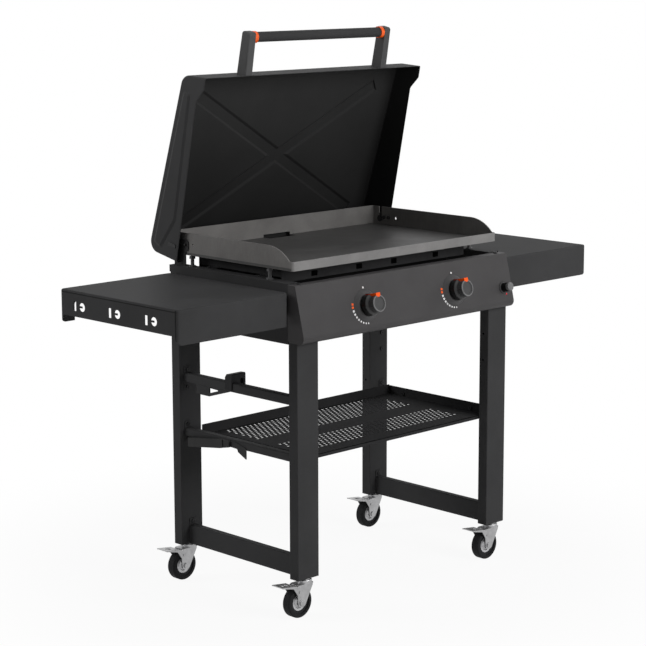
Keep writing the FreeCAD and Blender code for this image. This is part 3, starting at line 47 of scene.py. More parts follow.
# Control panel: its tilt, its upper edge, and the knobs and the igniter measured down its face
PANEL_TILT = math.radians(13.6)
PANEL_TOP = Vector((0.0, -0.2405, 0.7946))
OUT = Vector((0.0, -math.cos(PANEL_TILT), math.sin(PANEL_TILT)))
DOWN = Vector((0.0, -math.sin(PANEL_TILT), -math.cos(PANEL_TILT)))
KNOB_X = 0.155
KNOB_DOWN = 0.071
IGNITER_X = 0.337
IGNITER_DOWN = 0.086

# Knob: heights over the panel, radii, and distances from its middle across the face
KNOB_GRIP_FROM = 0.0235
KNOB_GROOVE_FROM = 0.0449
KNOB_GROOVE_R = (0.0148, 0.0158)
KNOB_RING_FROM = 0.0452
KNOB_RING_R = 0.0176
KNOB_FACE_FROM = 0.0466
KNOB_RIB_HALF_W = 0.00705
KNOB_RIB_HIGH = 0.0178
KNOB_MARK_HALF_W = 0.0035
KNOB_PAINT_DEEP = 0.012
KNOB_PAINT_FULL = 0.034

# Igniter: the grey washer at its foot
WASHER_TOP = 0.0034
WASHER_R = (0.0118, 0.0143)

# Casters: a swivel under each leg, with the wheel's axle behind it
WHEEL_R = 0.0375
HUB_R = 0.0205
WEB_R = 0.0286
TRAIL = 0.024
LEG_X = 0.3343
LEG_FRONT_Y = -0.23035
LEG_REAR_Y = 0.18895

# Lid, measured from its hinge in its own directions: along its roof to the rear, and up as when shut
HINGE = Vector((0.0, 0.187, 0.846))
LID_TURN = math.radians(78.4)
LID_SKIN = 0.006
LID_HALF_W = 0.3706
LID_ROOF = 0.0870
LID_SLOPE = 0.109
LID_FRONT = -0.4264
LID_LEAN = 0.141
LID_VISOR = 0.044
LID_REAR = 0.0364
# Painted light and shade inside the lid: the darker inner coat grows lighter towards the front edge along
# the roof and towards the left across it, keeping this share of that painted light at the right
LID_PAINTED_LIGHT_ALONG = (-0.40, 0.0)
LID_PAINTED_LIGHT_ACROSS = (-0.1, 0.36)
LID_PAINTED_LIGHT_RIGHT = 0.55

# Side shelves: the fold lines on the end skirt, measured from the front and down from the top, and the share
# of painted shade that darkens them
SHELF_SKIRT = 0.0012
SHELF_UPRIGHT_FOLD = (0.0045, 0.0080)
SHELF_LEVEL_FOLD = (0.0046, 0.0072)
SHELF_FOLD_SHADE = 0.55

# Burner box: a step through the skin of its sheet, the ears outside its end walls, and its edges, which mark
# off the inside that is painted near black as shade
BOX_SKIN = 0.004
BOX_EAR = 0.028
BOX_WALL_EDGE = 0.0002
BOX_RIM_EDGE = 0.0005

# Hot plate: where its front lip ends, the heights round its cooking face, and the grease chute, painted
# black as shade
PLATE_LIP_Y = -0.2135
PLATE_FACE = (0.8245, 0.8305)
CHUTE_HALF_W = 0.0458
CHUTE_Y = 0.1918
CHUTE_TOP = 0.8374

# Bottom shelf: one sheet with walls, four ears and two bands of staggered holes
SHEET_T = 0.0012
TRAY_WALL = 0.024
TRAY_LEFT_WALL = 0.013
TRAY_RIGHT_DROP = 0.002
TRAY_CORNER = 0.001
TRAY_LIP = 0.009
TRAY_LIP_END = 0.0257
TRAY_END = 0.058
TRAY_FRONT_BAND = (0.046, 0.144)
TRAY_REAR_BAND = (0.139, 0.009)
TRAY_PITCH = 0.0147
TRAY_HOLE_R = 0.0043
TRAY_EAR = 0.002
TRAY_EAR_FRONT = 0.055
TRAY_EAR_REAR = 0.054
TRAY_EAR_HALF_W = 0.014
TRAY_EAR_LOW = 0.0002
TRAY_EAR_HIGH = 0.0118
STAGGER_ROW = math.sqrt(3.0) / 2.0
WELD = 0.000002

# Print on the panel, between two heights over its face: round each knob a dot, a row of white ticks
# that shrink, and two orange ticks, and beside the igniter one more dot
PRINT_LOW = 0.00002
PRINT_HIGH = 0.00022
DIAL_R = 0.0405
DIAL_TICKS = 8
DIAL_FIRST = 192.0
DIAL_STEP = 11.0
DIAL_SHORT = 0.003
DIAL_GROW = 0.0028
DIAL_FOOT = (0.0011, 0.0012)
DIAL_HEAD = (0.0013, 0.0016)
DIAL_HIGH_ANGLES = (170.0, 180.0)
DIAL_HIGH_R = 0.0466
DIAL_HIGH_HALF = (0.0022, 0.0028)
DIAL_DOT_UP = 0.0432
DIAL_DOT_R = 0.0026
IGNITER_DOT = (0.009, 0.017)
IGNITER_DOT_R = 0.0022
DISC_SIDES = 24

# Floor and world
FLOOR_HALF = 14.0
FLOOR_Z = -0.0006
FLOOR_GREY = (0.86, 0.86, 0.86)
FLOOR_NEAR = 0.5
FLOOR_FAR = 1.3
FLOOR_NEAR_WHITE = 0.92
WHITE = (1.0, 1.0, 1.0)
WORLD_LIGHT = 0.16

# Camera, solved from the photograph: directions, aim, distance, and lengths in pixels of the photograph
AZIMUTH = math.radians(-44.68)
ELEVATION = math.radians(10.35)
ROLL = math.radians(-0.1)
AIM = Vector((0.0, 0.0, 0.6335))
DISTANCE = 5.057
PHOTO_PX = 646.0
FOCAL_PX = 2012.7
SHIFT_X_PX = -13.0
SHIFT_Y_PX = -1.3
SENSOR_MM = 36.0


def panel_point(x, down, off=0.0):
    """A point given across and down the face of the panel, and off it."""
    return PANEL_TOP + Vector((x, 0.0, 0.0)) + DOWN * down + OUT * off


class Graph:
    """Small helper that fills a node tree."""

    def __init__(self, tree):
        self.tree = tree
        tree.nodes.clear()

    def feed(self, socket, value):
        if hasattr(value, "is_output"):
            self.tree.links.new(value, socket)
        elif socket.type == "RGBA":
            socket.default_value = (*value, 1.0)
        else:
            socket.default_value = value

    def add(self, kind, inputs, out=0, **settings):
        """A new node with its settings and inputs. Gives one of its outputs."""
        node = self.tree.nodes.new("ShaderNode" + kind)
        for key, value in settings.items():
            setattr(node, key, value)
        for key, value in inputs.items():
            if value is not None:
                self.feed(node.inputs[key], value)
        return node.outputs[out]

    def end(self, kind, shader):
        self.feed(self.tree.nodes.new("ShaderNodeOutput" + kind).inputs[0], shader)

    def math(self, operation, a, b=None, c=None):
        return self.add("Math", {0: a, 1: b, 2: c}, operation=operation)

    def vector(self, operation, a, b=None, out=0):
        return self.add("VectorMath", {0: a, 1: b}, out, operation=operation)

    def dot(self, a, axis):
        return self.vector("DOT_PRODUCT", a, axis, "Value")

    def over(self, value, limit):
        return self.math("GREATER_THAN", value, limit)

    def under(self, value, limit):
        return self.math("LESS_THAN", value, limit)

    def both(self, first, *rest):
        """Product of masks or of tones."""
        for value in rest:
            first = self.math("MULTIPLY", first, value)
        return first

    def between(self, value, low, high):
        return self.both(self.over(value, low), self.under(value, high))

    def remap(self, value, a0, a1, b0, b1, **settings):
        return self.add("MapRange", {0: value, 1: a0, 2: a1, 3: b0, 4: b1}, **settings)

    def spread(self, noise, low, high, reach=0.2):
        """The middle of a noise, up to reach on both sides, stretched from low to high."""
        return self.remap(noise, 0.5 - reach, 0.5 + reach, low, high)

    def seen(self):
        """1 for rays of the camera, of gloss and of glass, else 0."""
        path = self.tree.nodes.new("ShaderNodeLightPath").outputs
        direct = self.math("MAXIMUM", path["Is Camera Ray"], path["Is Glossy Ray"])
        return self.math("MAXIMUM", direct, path["Is Transmission Ray"])

    def blend(self, share, first, second):
        return self.add("MixShader", {0: share, 1: first, 2: second})


class Shader(Graph):
    """One material, drawn in the coordinates of the part at rest."""

    def __init__(self, name):
        self.mat = bpy.data.materials.new(name)
        self.mat.use_nodes = True
        super().__init__(self.mat.node_tree)
        self.coord = self.add("TexCoord", {}, "Object")

    def noise(self, scale, detail=3.0, rough=0.5, stretch=None, distortion=0.0):
        place = self.add("Mapping", {"Vector": self.coord, "Scale": stretch}) if stretch else self.coord
        return self.add("TexNoise", {"Vector": place, "Scale": scale, "Detail": detail,
                                     "Roughness": rough, "Distortion": distortion})

    def mix(self, factor, a, b):
        return self.add("Mix", {0: factor, 6: a, 7: b}, 2, data_type="RGBA")

    def scale_color(self, color, factor):
        grey = self.add("CombineColor", {0: factor, 1: factor, 2: factor})
        return self.add("Mix", {0: 1.0, 6: color, 7: grey}, 2, data_type="RGBA", blend_type="MULTIPLY")

    def axes(self, place=None):
        node = self.tree.nodes.new("ShaderNodeSeparateXYZ")
        self.feed(node.inputs[0], place or self.coord)
        return node.outputs

    def local(self, origin, axis):
        """Radius about an axis, height along it, and the offset from its origin."""
        offset = self.vector("SUBTRACT", self.coord, tuple(origin))
        height = self.dot(offset, tuple(axis))
        length = self.vector("LENGTH", offset, out="Value")
        square = self.both(length, length)
        across = self.math("SUBTRACT", square, self.both(height, height))
        return self.math("SQRT", self.math("MAXIMUM", across, 0.0)), height, offset

    def off_surface(self, distance):
        """The shaded point moved out along its normal."""
        normal = self.add("TexCoord", {}, "Normal")
        step = self.vector("MULTIPLY", normal, (distance, distance, distance))
        return self.vector("ADD", self.coord, step)

    def bump(self, height, strength, distance, normal=None):
        return self.add("Bump", {"Height": height, "Strength": strength, "Distance": distance,
                                 "Normal": normal})

    def edge(self, radius):
        return self.add("Bevel", {"Radius": radius}, samples=4)

    def finish(self, color, rough, metal, spec, normal):
        self.end("Material", self.add("BsdfPrincipled", {
            "Base Color": color, "Roughness": rough, "Metallic": metal,
            "Specular IOR Level": spec, "Normal": normal}))
        return self.mat


# Coated sheet
def coat(s, color, rough, spec, blotch=0.12, grain=900.0, peel=400.0, painted_shade=1.0):
    """Powder coat: soft clouds, fine specks and a faint orange peel, times a painted shade factor where one
    is given.
    """
    cloud = s.noise(7.0, detail=4.0, rough=0.55)
    speck = s.noise(grain, detail=2.0, rough=0.6)
    tone = s.both(s.spread(cloud, 1.0 - blotch, 1.0 + blotch), s.spread(speck, 0.94, 1.06, 0.15), painted_shade)
    dull = s.math("ADD", s.spread(cloud, -0.04, 0.04), rough)
    normal = s.bump(s.noise(peel, detail=2.0), strength=0.12, distance=0.0002, normal=s.edge(0.0008))
    return s.finish(s.scale_color(color, tone), rough=dull, metal=0.0, spec=spec, normal=normal)


def powder(name, color, rough, spec, grain=900.0):
    """Plain powder coat whose orange peel goes with its grain."""
    return coat(Shader(name), color, rough, spec, grain=grain, peel=0.45 * grain)


def lid_powder():
    """Outside like the frame. Inside, painted shade: a darker coat, with painted light making it lighter
    towards the front edge and on the left.
    """
    s = Shader("lid_powder")
    place = s.off_surface(LID_SKIN)
    arm = s.vector("SUBTRACT", place, tuple(HINGE))
    along = s.dot(arm, (0.0, math.cos(LID_TURN), -math.sin(LID_TURN)))
    rise = s.dot(arm, (0.0, math.sin(LID_TURN), math.cos(LID_TURN)))
    x = s.axes(place)[0]
    roof = s.math("MULTIPLY_ADD", along, LID_SLOPE, LID_ROOF)
    wall = s.math("MULTIPLY_ADD", s.math("ADD", rise, LID_VISOR), LID_LEAN, LID_FRONT)
    inside = s.both(s.between(x, -LID_HALF_W, LID_HALF_W), s.under(rise, roof),
                    s.between(along, wall, LID_REAR))
    painted_light = s.both(s.remap(along, *LID_PAINTED_LIGHT_ALONG, 1.0, 0.0),
                  s.remap(x, *LID_PAINTED_LIGHT_ACROSS, 1.0, LID_PAINTED_LIGHT_RIGHT))
    # Painted shade inside the lid, lifted by painted light towards the front edge and the left
    inner_painted_shade = s.mix(painted_light, (0.014, 0.014, 0.014), (0.031, 0.031, 0.031))
    return coat(s, s.mix(inside, (0.050, 0.050, 0.051), inner_painted_shade), rough=0.62, spec=0.06, blotch=0.1)


def shelf_powder():
    """Frame coat with painted shade along the fold lines of the end skirt."""
    s = Shader("shelf_powder")
    x, y, z = s.axes()
    low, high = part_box("shelf_right")
    skirt = s.over(s.math("ABSOLUTE", x), high[0] - SHELF_SKIRT)
    upright = s.between(y, *(low[1] + v for v in SHELF_UPRIGHT_FOLD))
    level = s.between(z, *(high[2] - v for v in reversed(SHELF_LEVEL_FOLD)))
    fold = s.both(skirt, s.math("MAXIMUM", upright, level))
    # Painted shade: the fold lines of the end skirt are darkened
    painted_shade = s.math("SUBTRACT", 1.0, s.math("MULTIPLY", fold, SHELF_FOLD_SHADE))
    return coat(s, (0.050, 0.050, 0.051), rough=0.56, spec=0.022, painted_shade=painted_shade)


def box_powder():
    """Burner box: coated outside, painted shade inside (near black)."""
    s = Shader("burner_box_powder")
    x, y, z = s.axes(s.off_surface(BOX_SKIN))
    low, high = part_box("burner_box")
    half = high[0] - BOX_EAR
    inside = s.both(s.between(x, -half, half), s.between(y, low[1] + BOX_WALL_EDGE, high[1] - BOX_WALL_EDGE),
                    s.between(z, low[2], high[2] - BOX_RIM_EDGE))
    cloud = s.noise(14.0, detail=4.0, rough=0.55)
    speck = s.noise(900.0, detail=2.0, rough=0.6)
    tone = s.both(s.spread(cloud, 0.85, 1.15), s.spread(speck, 0.94, 1.06, 0.15))
    # Painted shade: the inside of the box is near black
    color = s.mix(inside, (0.036, 0.036, 0.037), (0.006, 0.006, 0.006))
    normal = s.bump(speck, strength=0.12, distance=0.0002, normal=s.edge(0.0008))
    return s.finish(s.scale_color(color, tone), rough=0.62, metal=0.0, spec=0.06, normal=normal)


# Bare steel and plastic
def steel_plate():
    """Rolled plate: warm grey guards, darker cooking face with faint rolling streaks, and the grease chute
    painted black as shade.
    """
    s = Shader("griddle_steel")
    x, y, z = s.axes()
    streak = s.noise(30.0, detail=5.0, rough=0.6, stretch=(0.35, 6.0, 1.0))
    cloud = s.noise(9.0, detail=5.0, rough=0.6, distortion=0.6)
    speck = s.noise(420.0, rough=0.6)
    tone = s.both(s.spread(cloud, 0.86, 1.14), s.spread(speck, 0.93, 1.07), s.spread(streak, 0.94, 1.06))
    chute_shade = s.both(s.between(x, -CHUTE_HALF_W, CHUTE_HALF_W), s.over(y, CHUTE_Y), s.under(z, CHUTE_TOP))
    color = s.mix(s.between(z, *PLATE_FACE), (0.152, 0.147, 0.142), (0.071, 0.070, 0.069))
    color = s.mix(s.under(y, PLATE_LIP_Y), color, (0.20, 0.196, 0.193))
    # Painted shade: the grease chute and drain opening are near black
    color = s.mix(chute_shade, color, (0.008, 0.008, 0.008))
    dull = s.spread(cloud, 0.42, 0.56)
    normal = s.bump(s.math("ADD", speck, streak), strength=0.1, distance=0.0003, normal=s.edge(0.0007))
    return s.finish(s.scale_color(color, tone), rough=dull, metal=0.15, spec=0.2, normal=normal)


def metal(name, color, rough):
    s = Shader(name)
    cloud = s.noise(60.0, rough=0.6)
    fine = s.noise(300.0, rough=0.6)
    dull = s.math("ADD", s.spread(fine, -0.06, 0.06), rough)
    tone = s.spread(cloud, 0.85, 1.1)
    normal = s.bump(fine, strength=0.08, distance=0.0002, normal=s.edge(0.0005))
    return s.finish(s.scale_color(color, tone), rough=dull, metal=1.0, spec=0.5, normal=normal)


def plastic(name, color, rough, spec=0.4, grain=1500.0):
    s = Shader(name)
    fine = s.noise(grain, detail=2.0)
    cloud = s.noise(35.0)
    dull = s.math("ADD", s.spread(cloud, -0.05, 0.05), rough)
    tone = s.spread(cloud, 0.9, 1.1)
    normal = s.bump(fine, strength=0.1, distance=0.0001, normal=s.edge(0.0005))
    return s.finish(s.scale_color(color, tone), rough=dull, metal=0.0, spec=spec, normal=normal)


def moulded(s, color, rough, spec, paint=None):
    """Fine moulded surface, with one patch of it painted where paint gives a mask and a colour."""
    color = s.scale_color(color, s.spread(s.noise(90.0, rough=0.6), 0.88, 1.1))
    if paint:
        color = s.mix(paint[0], color, paint[1])
    normal = s.bump(s.noise(1500.0, detail=2.0), strength=0.08, distance=0.0001, normal=s.edge(0.0005))
    return s.finish(color, rough=rough, metal=0.0, spec=spec, normal=normal)


def knob_material(name, x):
    """Near-black foot below the grip as painted shade in the gap inside the bezel, grey grip, a light line
    round the face and an orange pointer along the top.
    """
    s = Shader(name)
    radius, height, offset = s.local(panel_point(x, KNOB_DOWN), OUT)
    across = s.math("ABSOLUTE", s.axes(offset)[0])
    high = s.dot(offset, tuple(-DOWN))
    ring = s.both(s.over(height, KNOB_RING_FROM), s.over(radius, KNOB_RING_R))
    groove = s.both(s.over(height, KNOB_GROOVE_FROM), s.between(radius, *KNOB_GROOVE_R))
    rib = s.both(s.under(across, KNOB_RIB_HALF_W), s.over(high, KNOB_RIB_HIGH))
    mark = s.both(s.under(across, KNOB_MARK_HALF_W), s.over(height, KNOB_FACE_FROM), s.over(high, 0.0))
    # Painted shade: below the grip the knob is near black, standing in for the shaded gap inside the bezel
    color = s.mix(s.over(height, KNOB_GRIP_FROM), (0.006, 0.006, 0.006), (0.052, 0.052, 0.053))
    color = s.mix(ring, color, (0.17, 0.17, 0.172))
    color = s.mix(groove, color, (0.10, 0.10, 0.10))
    depth = s.remap(height, KNOB_PAINT_DEEP, KNOB_PAINT_FULL, 0.0, 1.0)
    orange_paint = s.mix(depth, (0.62, 0.022, 0.002), (1.0, 0.11, 0.006))
    return moulded(s, color, rough=0.42, spec=0.2, paint=(s.math("MAXIMUM", rib, mark), orange_paint))


def igniter_material():
    """Black barrel with a grey washer ring at the panel."""
    s = Shader("igniter_finish")
    radius, height = s.local(panel_point(IGNITER_X, IGNITER_DOWN), OUT)[:2]
    washer = s.both(s.under(height, WASHER_TOP), s.between(radius, *WASHER_R))
    color = s.mix(washer, (0.004, 0.004, 0.004), (0.075, 0.075, 0.076))
    return moulded(s, color, rough=0.5, spec=0.1)


def wheel_material(name, centre):
    """Black tyre round a bright hub."""
    s = Shader(name)
    radius = s.local(centre, (0.0, 1.0, 0.0))[0]
    hub = s.under(radius, HUB_R)
    color = s.mix(s.between(radius, HUB_R, WEB_R), (0.014, 0.014, 0.015), (0.026, 0.026, 0.028))
    color = s.mix(hub, color, (0.50, 0.50, 0.51))
    cloud = s.noise(120.0, detail=4.0, rough=0.6)
    color = s.scale_color(color, s.spread(cloud, 0.85, 1.15))
    dull = s.math("SUBTRACT", 0.72, s.math("MULTIPLY", hub, 0.38))
    shine = s.math("MULTIPLY", hub, 0.5)
    normal = s.bump(cloud, strength=0.12, distance=0.0003, normal=s.edge(0.0006))
    return s.finish(color, rough=dull, metal=shine, spec=0.12, normal=normal)


def print_material(name, color):
    """Ink, a little uneven."""
    s = Shader(name)
    cloud = s.noise(400.0, detail=2.0)
    color = s.scale_color(color, s.spread(cloud, 0.92, 1.05))
    normal = s.bump(cloud, strength=0.05, distance=0.0001)
    return s.finish(color, rough=0.5, metal=0.0, spec=0.3, normal=normal)


# Materials, and the CAD pieces that wear them
def assign(mat, *names):
    for name in names:
        materials = nodes[name].data.materials
        materials.clear()
        materials.append(mat)


black = powder("black_powder", (0.045, 0.045, 0.046), rough=0.64, spec=0.05)
tray_coat = powder("tray_powder", (0.030, 0.030, 0.031), rough=0.7, spec=0.03)
handle_coat = powder("handle_powder", (0.080, 0.080, 0.081), rough=0.6, spec=0.1)
panel_coat = powder("panel_powder", (0.056, 0.054, 0.055), rough=0.52, spec=0.13, grain=700.0)
zinc = metal("zinc", (0.38, 0.38, 0.385), rough=0.38)
brass = metal("brass", (0.62, 0.46, 0.2), rough=0.3)
burner_steel = metal("burner_steel", (0.45, 0.43, 0.41), rough=0.36)
grey_steel = plastic("grey_steel", (0.12, 0.12, 0.122), rough=0.45, spec=0.2, grain=600.0)
black_oxide = plastic("black_oxide", (0.014, 0.014, 0.015), rough=0.45, spec=0.25, grain=800.0)
button_grey = plastic("button_plastic", (0.16, 0.16, 0.162), rough=0.42, spec=0.3)
hook_black = plastic("black_plastic", (0.010, 0.010, 0.011), rough=0.5, spec=0.12)
bezel_grey = plastic("bezel_plastic", (0.060, 0.059, 0.060), rough=0.45, spec=0.2)
orange = plastic("orange_plastic", (0.95, 0.115, 0.004), rough=0.35)
rubber = plastic("rubber", (0.016, 0.016, 0.016), rough=0.7, spec=0.25)
ceramic = plastic("ceramic", (0.75, 0.73, 0.68), rough=0.2)
white_print = print_material("white_print", (0.8, 0.8, 0.8))
orange_print = print_material("orange_print", (0.95, 0.12, 0.005))
red_print = print_material("red_print", (0.75, 0.01, 0.02))
assign(black, "leg_front_left", "leg_front_right", "leg_rear_left", "leg_rear_right",
       "bottom_rail_left", "bottom_rail_right", "shelf_bar_left", "shelf_bar_right",
       "side_panel_left", "side_panel_right", "rear_panel", "tank_bar", "tank_stop",
       "grease_cup", "hinge_plate_left", "hinge_plate_right", "handle_bar")
assign(tray_coat, "bottom_shelf")
assign(lid_powder(), "lid_shell")
assign(box_powder(), "burner_box")
assign(shelf_powder(), "shelf_left", "shelf_right")
assign(steel_plate(), "griddle_plate")
assign(handle_coat, "handle_post_left", "handle_post_right")
assign(panel_coat, "control_panel")
assign(grey_steel, "plate_feet")
assign(black_oxide, "frame_screws", "shelf_bolts", "hinge_pins")
assign(button_grey, "igniter_button")
assign(hook_black, "tank_hook")
assign(bezel_grey, "bezel_left", "bezel_right")
assign(orange, "handle_rings")
assign(rubber, "tank_bumper")
assign(ceramic, "electrodes")
assign(brass, "valve_left", "valve_right", "plunger_left", "plunger_right", "gas_manifold")
assign(burner_steel, "burner_left", "burner_right")
assign(igniter_material(), "igniter_body")
assign(zinc, "caster_stems")
for side, x in (("left", -1.0), ("right", 1.0)):
    assign(knob_material("knob_" + side + "_finish", x * KNOB_X), "knob_" + side)
    for row, y in (("front", LEG_FRONT_Y), ("rear", LEG_REAR_Y)):
        where = row + "_" + side
        assign(wheel_material("wheel_" + where, (x * LEG_X - TRAIL, y, WHEEL_R)), "caster_wheel_" + where)
        assign(zinc, "caster_fork_" + where, "caster_brake_" + where)


# Meshes drawn here
def add_object(name, data):
    obj = bpy.data.objects.new(name, data)
    bpy.context.scene.collection.objects.link(obj)
    return obj


def mesh_object(name, bm, mat):
    mesh = bpy.data.meshes.new(name)
    bm.to_mesh(mesh)
    bm.free()
    mesh.materials.append(mat)
    return add_object(name, mesh)


def finish_mesh(name, bm, mat, body):
    bmesh.ops.recalc_face_normals(bm, faces=bm.faces)
    obj = mesh_object(name, bm, mat)
    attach(obj, body)
    return obj


def quad_box(bm, low, high):
    """A box between two corners."""
    corners = [bm.verts.new(place) for place in product(*zip(low, high))]
    for quad in ((0, 1, 3, 2), (4, 6, 7, 5), (0, 4, 5, 1), (2, 3, 7, 6), (0, 2, 6, 4), (1, 5, 7, 3)):
        bm.faces.new([corners[i] for i in quad])


def hole_cell(bm, cx, cy, hx, hy, z0, z1):
    """One cell of the sheet with a round hole through it."""
    outer = ((hx, hy), (0.0, hy), (-hx, hy), (-hx, -hy), (0.0, -hy), (hx, -hy))
    sides = len(outer)
    angles = [math.atan2(y, x) % (2.0 * math.pi) for x, y in outer]
    ring = []
    for k in range(sides):
        a, b = angles[k], angles[(k + 1) % sides]
        if b < a:
            b += 2.0 * math.pi
        ring += [a, (a + b) / 2.0]
    steps = len(ring)
    circle = [(cx + TRAY_HOLE_R * math.cos(a), cy + TRAY_HOLE_R * math.sin(a)) for a in ring]
    holes = []
    for z in (z0, z1):
        rim = [bm.verts.new((cx + x, cy + y, z)) for x, y in outer]
        hole = [bm.verts.new((x, y, z)) for x, y in circle]
        holes.append(hole)
        for k in range(sides):
            face = [rim[k], rim[(k + 1) % sides], hole[(2 * k + 2) % steps], hole[2 * k + 1], hole[2 * k]]
            bm.faces.new(face if z == z1 else list(reversed(face)))
    for k in range(steps):
        n = (k + 1) % steps
        bm.faces.new((holes[0][k], holes[1][k], holes[1][n], holes[0][n]))


def perforated(bm, x0, x1, y0, y1, z0, z1):
    """Staggered holes over a rectangle, plain metal filling the ends of each second row."""
    rows = int((y1 - y0) / (TRAY_PITCH * STAGGER_ROW))
    hy = (y1 - y0) / rows / 2.0
    count = int((x1 - x0) / TRAY_PITCH)
    hx = (x1 - x0) / count / 2.0
    for j in range(rows):
        cy = y0 + hy * (2 * j + 1)
        odd = j % 2
        for i in range(count - odd):
            hole_cell(bm, x0 + odd * hx + hx * (2 * i + 1), cy, hx, hy, z0, z1)
        if odd:
            quad_box(bm, (x0, cy - hy, z0), (x0 + hx, cy + hy, z1))
            quad_box(bm, (x1 - hx, cy - hy, z0), (x1, cy + hy, z1))


def bottom_shelf():
    """The shelf again, with the fine perforation that the CAD piece leaves coarse."""
    low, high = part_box("bottom_shelf")
    half = high[0] - TRAY_EAR
    reach = half - TRAY_END
    lip = LEG_X - TRAY_LIP_END
    z1 = high[2] - TRAY_WALL
    z0 = z1 - SHEET_T
    y0, y1 = low[1], high[1]
    bands = ([y0 + v for v in TRAY_FRONT_BAND], [y1 - v for v in TRAY_REAR_BAND])
    bm = bmesh.new()
    edge = y0
    for a, b in bands:
        quad_box(bm, (-half, edge, z0), (half, a, z1))
        quad_box(bm, (-half, a, z0), (-reach, b, z1))
        quad_box(bm, (reach, a, z0), (half, b, z1))
        perforated(bm, -reach, reach, a, b, z0, z1)
        edge = b
    quad_box(bm, (-half, edge, z0), (half, y1, z1))
    bmesh.ops.remove_doubles(bm, verts=bm.verts, dist=WELD)
    quad_box(bm, (-half, y1 - SHEET_T, z0), (half, y1, high[2]))
    quad_box(bm, (half - SHEET_T, y0 + TRAY_CORNER, z0), (half, y1, high[2] - TRAY_RIGHT_DROP))
    quad_box(bm, (-half, y0 + TRAY_CORNER, z0), (SHEET_T - half, y1, z1 + TRAY_LEFT_WALL))
    quad_box(bm, (-lip, y0, z1 - TRAY_LIP), (lip, y0 + SHEET_T, z1))
    for side, y in product((-1, 1), (y0 + TRAY_EAR_FRONT, y1 - TRAY_EAR_REAR)):
        quad_box(bm, (side * half, y - TRAY_EAR_HALF_W, z1 + TRAY_EAR_LOW),
                 (side * high[0], y + TRAY_EAR_HALF_W, z1 + TRAY_EAR_HIGH))
    piece = finish_mesh("bottom_shelf_sheet", bm, tray_coat, "frame")
    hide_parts("bottom_shelf")


def patch(bm, points):
    """A thin printed patch on the panel, from an outline across and down its face."""
    low = [bm.verts.new(panel_point(x, down, PRINT_LOW)) for x, down in points]
    high = [bm.verts.new(panel_point(x, down, PRINT_HIGH)) for x, down in points]
    bm.faces.new(high)
    bm.faces.new(list(reversed(low)))
    for i in range(len(points)):
        j = (i + 1) % len(points)
        bm.faces.new((low[i], low[j], high[j], high[i]))


def tick(bm, x, degrees, r0, r1, half0, half1):
    """A tapered mark on a ray from the knob's middle, with its half widths at both ends."""
    a = math.radians(degrees)
    radial = (math.cos(a), -math.sin(a))
    across = (-radial[1], radial[0])
    patch(bm, [(x + radial[0] * r + across[0] * h, KNOB_DOWN + radial[1] * r + across[1] * h)
               for r, h in ((r0, -half0), (r1, -half1), (r1, half1), (r0, half0))])


def disc(bm, x, down, radius):
    angles = [2.0 * math.pi * i / DISC_SIDES for i in range(DISC_SIDES)]
    patch(bm, [(x + radius * math.cos(a), down - radius * math.sin(a)) for a in angles])


def dial_marks(side, x):
    """White dot and shrinking white ticks round a knob, with two orange ticks at its left."""
    bm = bmesh.new()
    disc(bm, x, KNOB_DOWN - DIAL_DOT_UP, DIAL_DOT_R)
    for i in range(DIAL_TICKS):
        grow = 1.0 - i / (DIAL_TICKS + 1.0)
        tick(bm, x, DIAL_FIRST + i * DIAL_STEP, DIAL_R, DIAL_R + DIAL_SHORT + DIAL_GROW * grow,
             DIAL_FOOT[0] + DIAL_FOOT[1] * grow, DIAL_HEAD[0] + DIAL_HEAD[1] * grow)
    finish_mesh("dial_marks_" + side, bm, white_print, "frame")
    bm = bmesh.new()
    for degrees in DIAL_HIGH_ANGLES:
        tick(bm, x, degrees, DIAL_R, DIAL_HIGH_R, *DIAL_HIGH_HALF)
    finish_mesh("dial_high_" + side, bm, orange_print, "frame")


def igniter_dot():
    bm = bmesh.new()
    disc(bm, IGNITER_X + IGNITER_DOT[0], IGNITER_DOWN + IGNITER_DOT[1], IGNITER_DOT_R)
    finish_mesh("igniter_dot", bm, red_print, "frame")


bottom_shelf()
dial_marks("left", -KNOB_X)
dial_marks("right", KNOB_X)
igniter_dot()


# Floor and world, both white to the camera, to gloss and to glass
def stage_material():
    """Grey floor that takes the shadow, mixed with white that fills up away from the part."""
    s = Shader("stage_white")
    ripple = s.add("Bump", {"Height": s.add("TexNoise", {"Scale": 3.0}), "Strength": 0.02})
    diffuse = s.add("BsdfDiffuse", {"Color": FLOOR_GREY, "Normal": ripple})
    glow = s.add("Emission", {"Color": WHITE, "Strength": 1.0})
    away = s.remap(s.vector("LENGTH", s.coord, out="Value"), FLOOR_NEAR, FLOOR_FAR, FLOOR_NEAR_WHITE, 1.0,
                   interpolation_type="SMOOTHSTEP")
    s.end("Material", s.blend(s.both(s.seen(), away), diffuse, glow))
    return s.mat


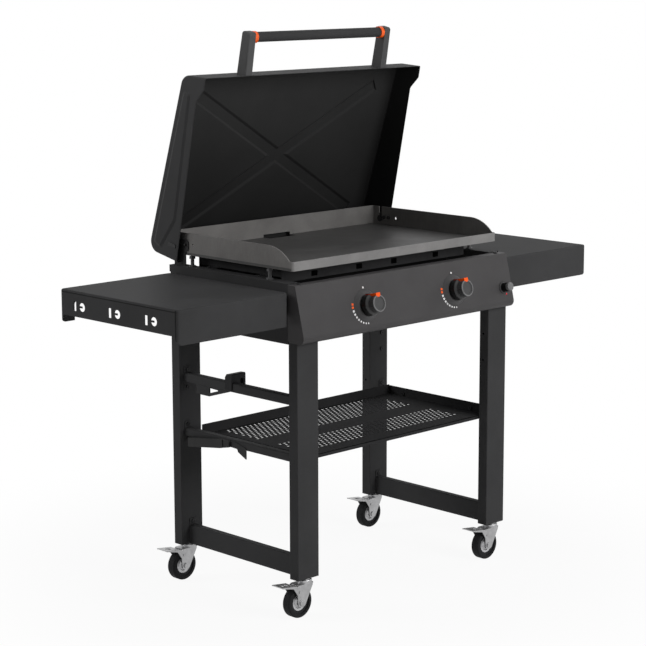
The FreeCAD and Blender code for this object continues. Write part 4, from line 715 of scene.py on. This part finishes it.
def white_world():
    world = bpy.data.worlds.new("studio")
    bpy.context.scene.world = world
    world.use_nodes = True
    g = Graph(world.node_tree)
    soft, full = [g.add("Background", {0: WHITE, 1: level}) for level in (WORLD_LIGHT, 1.0)]
    g.end("World", g.blend(g.seen(), soft, full))


def white_floor():
    bm = bmesh.new()
    bmesh.ops.create_grid(bm, x_segments=2, y_segments=2, size=FLOOR_HALF)
    floor = mesh_object("floor", bm, stage_material())
    floor.location = (0.0, 0.0, FLOOR_Z)


def area(name, place, aim_z, size, power):
    """A square lamp that points at a height over the middle of the part."""
    light = bpy.data.lights.new(name, "AREA")
    light.shape = "SQUARE"
    light.size = size
    light.energy = power
    obj = add_object(name, light)
    obj.location = place
    obj.rotation_mode = "QUATERNION"
    obj.rotation_quaternion = (Vector((0.0, 0.0, aim_z)) - Vector(place)).to_track_quat("-Z", "Y")


white_floor()
white_world()
area("top_softbox", (0.0, 0.0, 3.6), aim_z=0.8, size=2.6, power=14.0)
area("front_softbox", (0.9, -4.2, 2.3), aim_z=0.7, size=2.4, power=126.0)
area("rear_left_softbox", (-3.4, 2.6, 2.8), aim_z=0.8, size=2.2, power=74.0)
area("right_fill", (4.2, -0.4, 1.9), aim_z=0.7, size=2.0, power=34.0)

# Camera
camera_data = bpy.data.cameras.new("camera")
camera = add_object("camera", camera_data)
back = Vector((math.sin(AZIMUTH) * math.cos(ELEVATION),
               -math.cos(AZIMUTH) * math.cos(ELEVATION),
               math.sin(ELEVATION)))
aside = Vector((math.cos(AZIMUTH), math.sin(AZIMUTH), 0.0))
turn = Matrix((aside, back.cross(aside), back)).transposed().to_4x4()
camera.matrix_world = Matrix.Translation(AIM + back * DISTANCE) @ turn @ Matrix.Rotation(ROLL, 4, "Z")
camera_data.sensor_width = SENSOR_MM
camera_data.lens = FOCAL_PX / PHOTO_PX * SENSOR_MM
camera_data.shift_x = SHIFT_X_PX / PHOTO_PX
camera_data.shift_y = SHIFT_Y_PX / PHOTO_PX
camera_data.clip_start = 0.05
camera_data.clip_end = 60.0
bpy.context.scene.camera = camera
bpy.context.scene.view_settings.view_transform = "Standard"
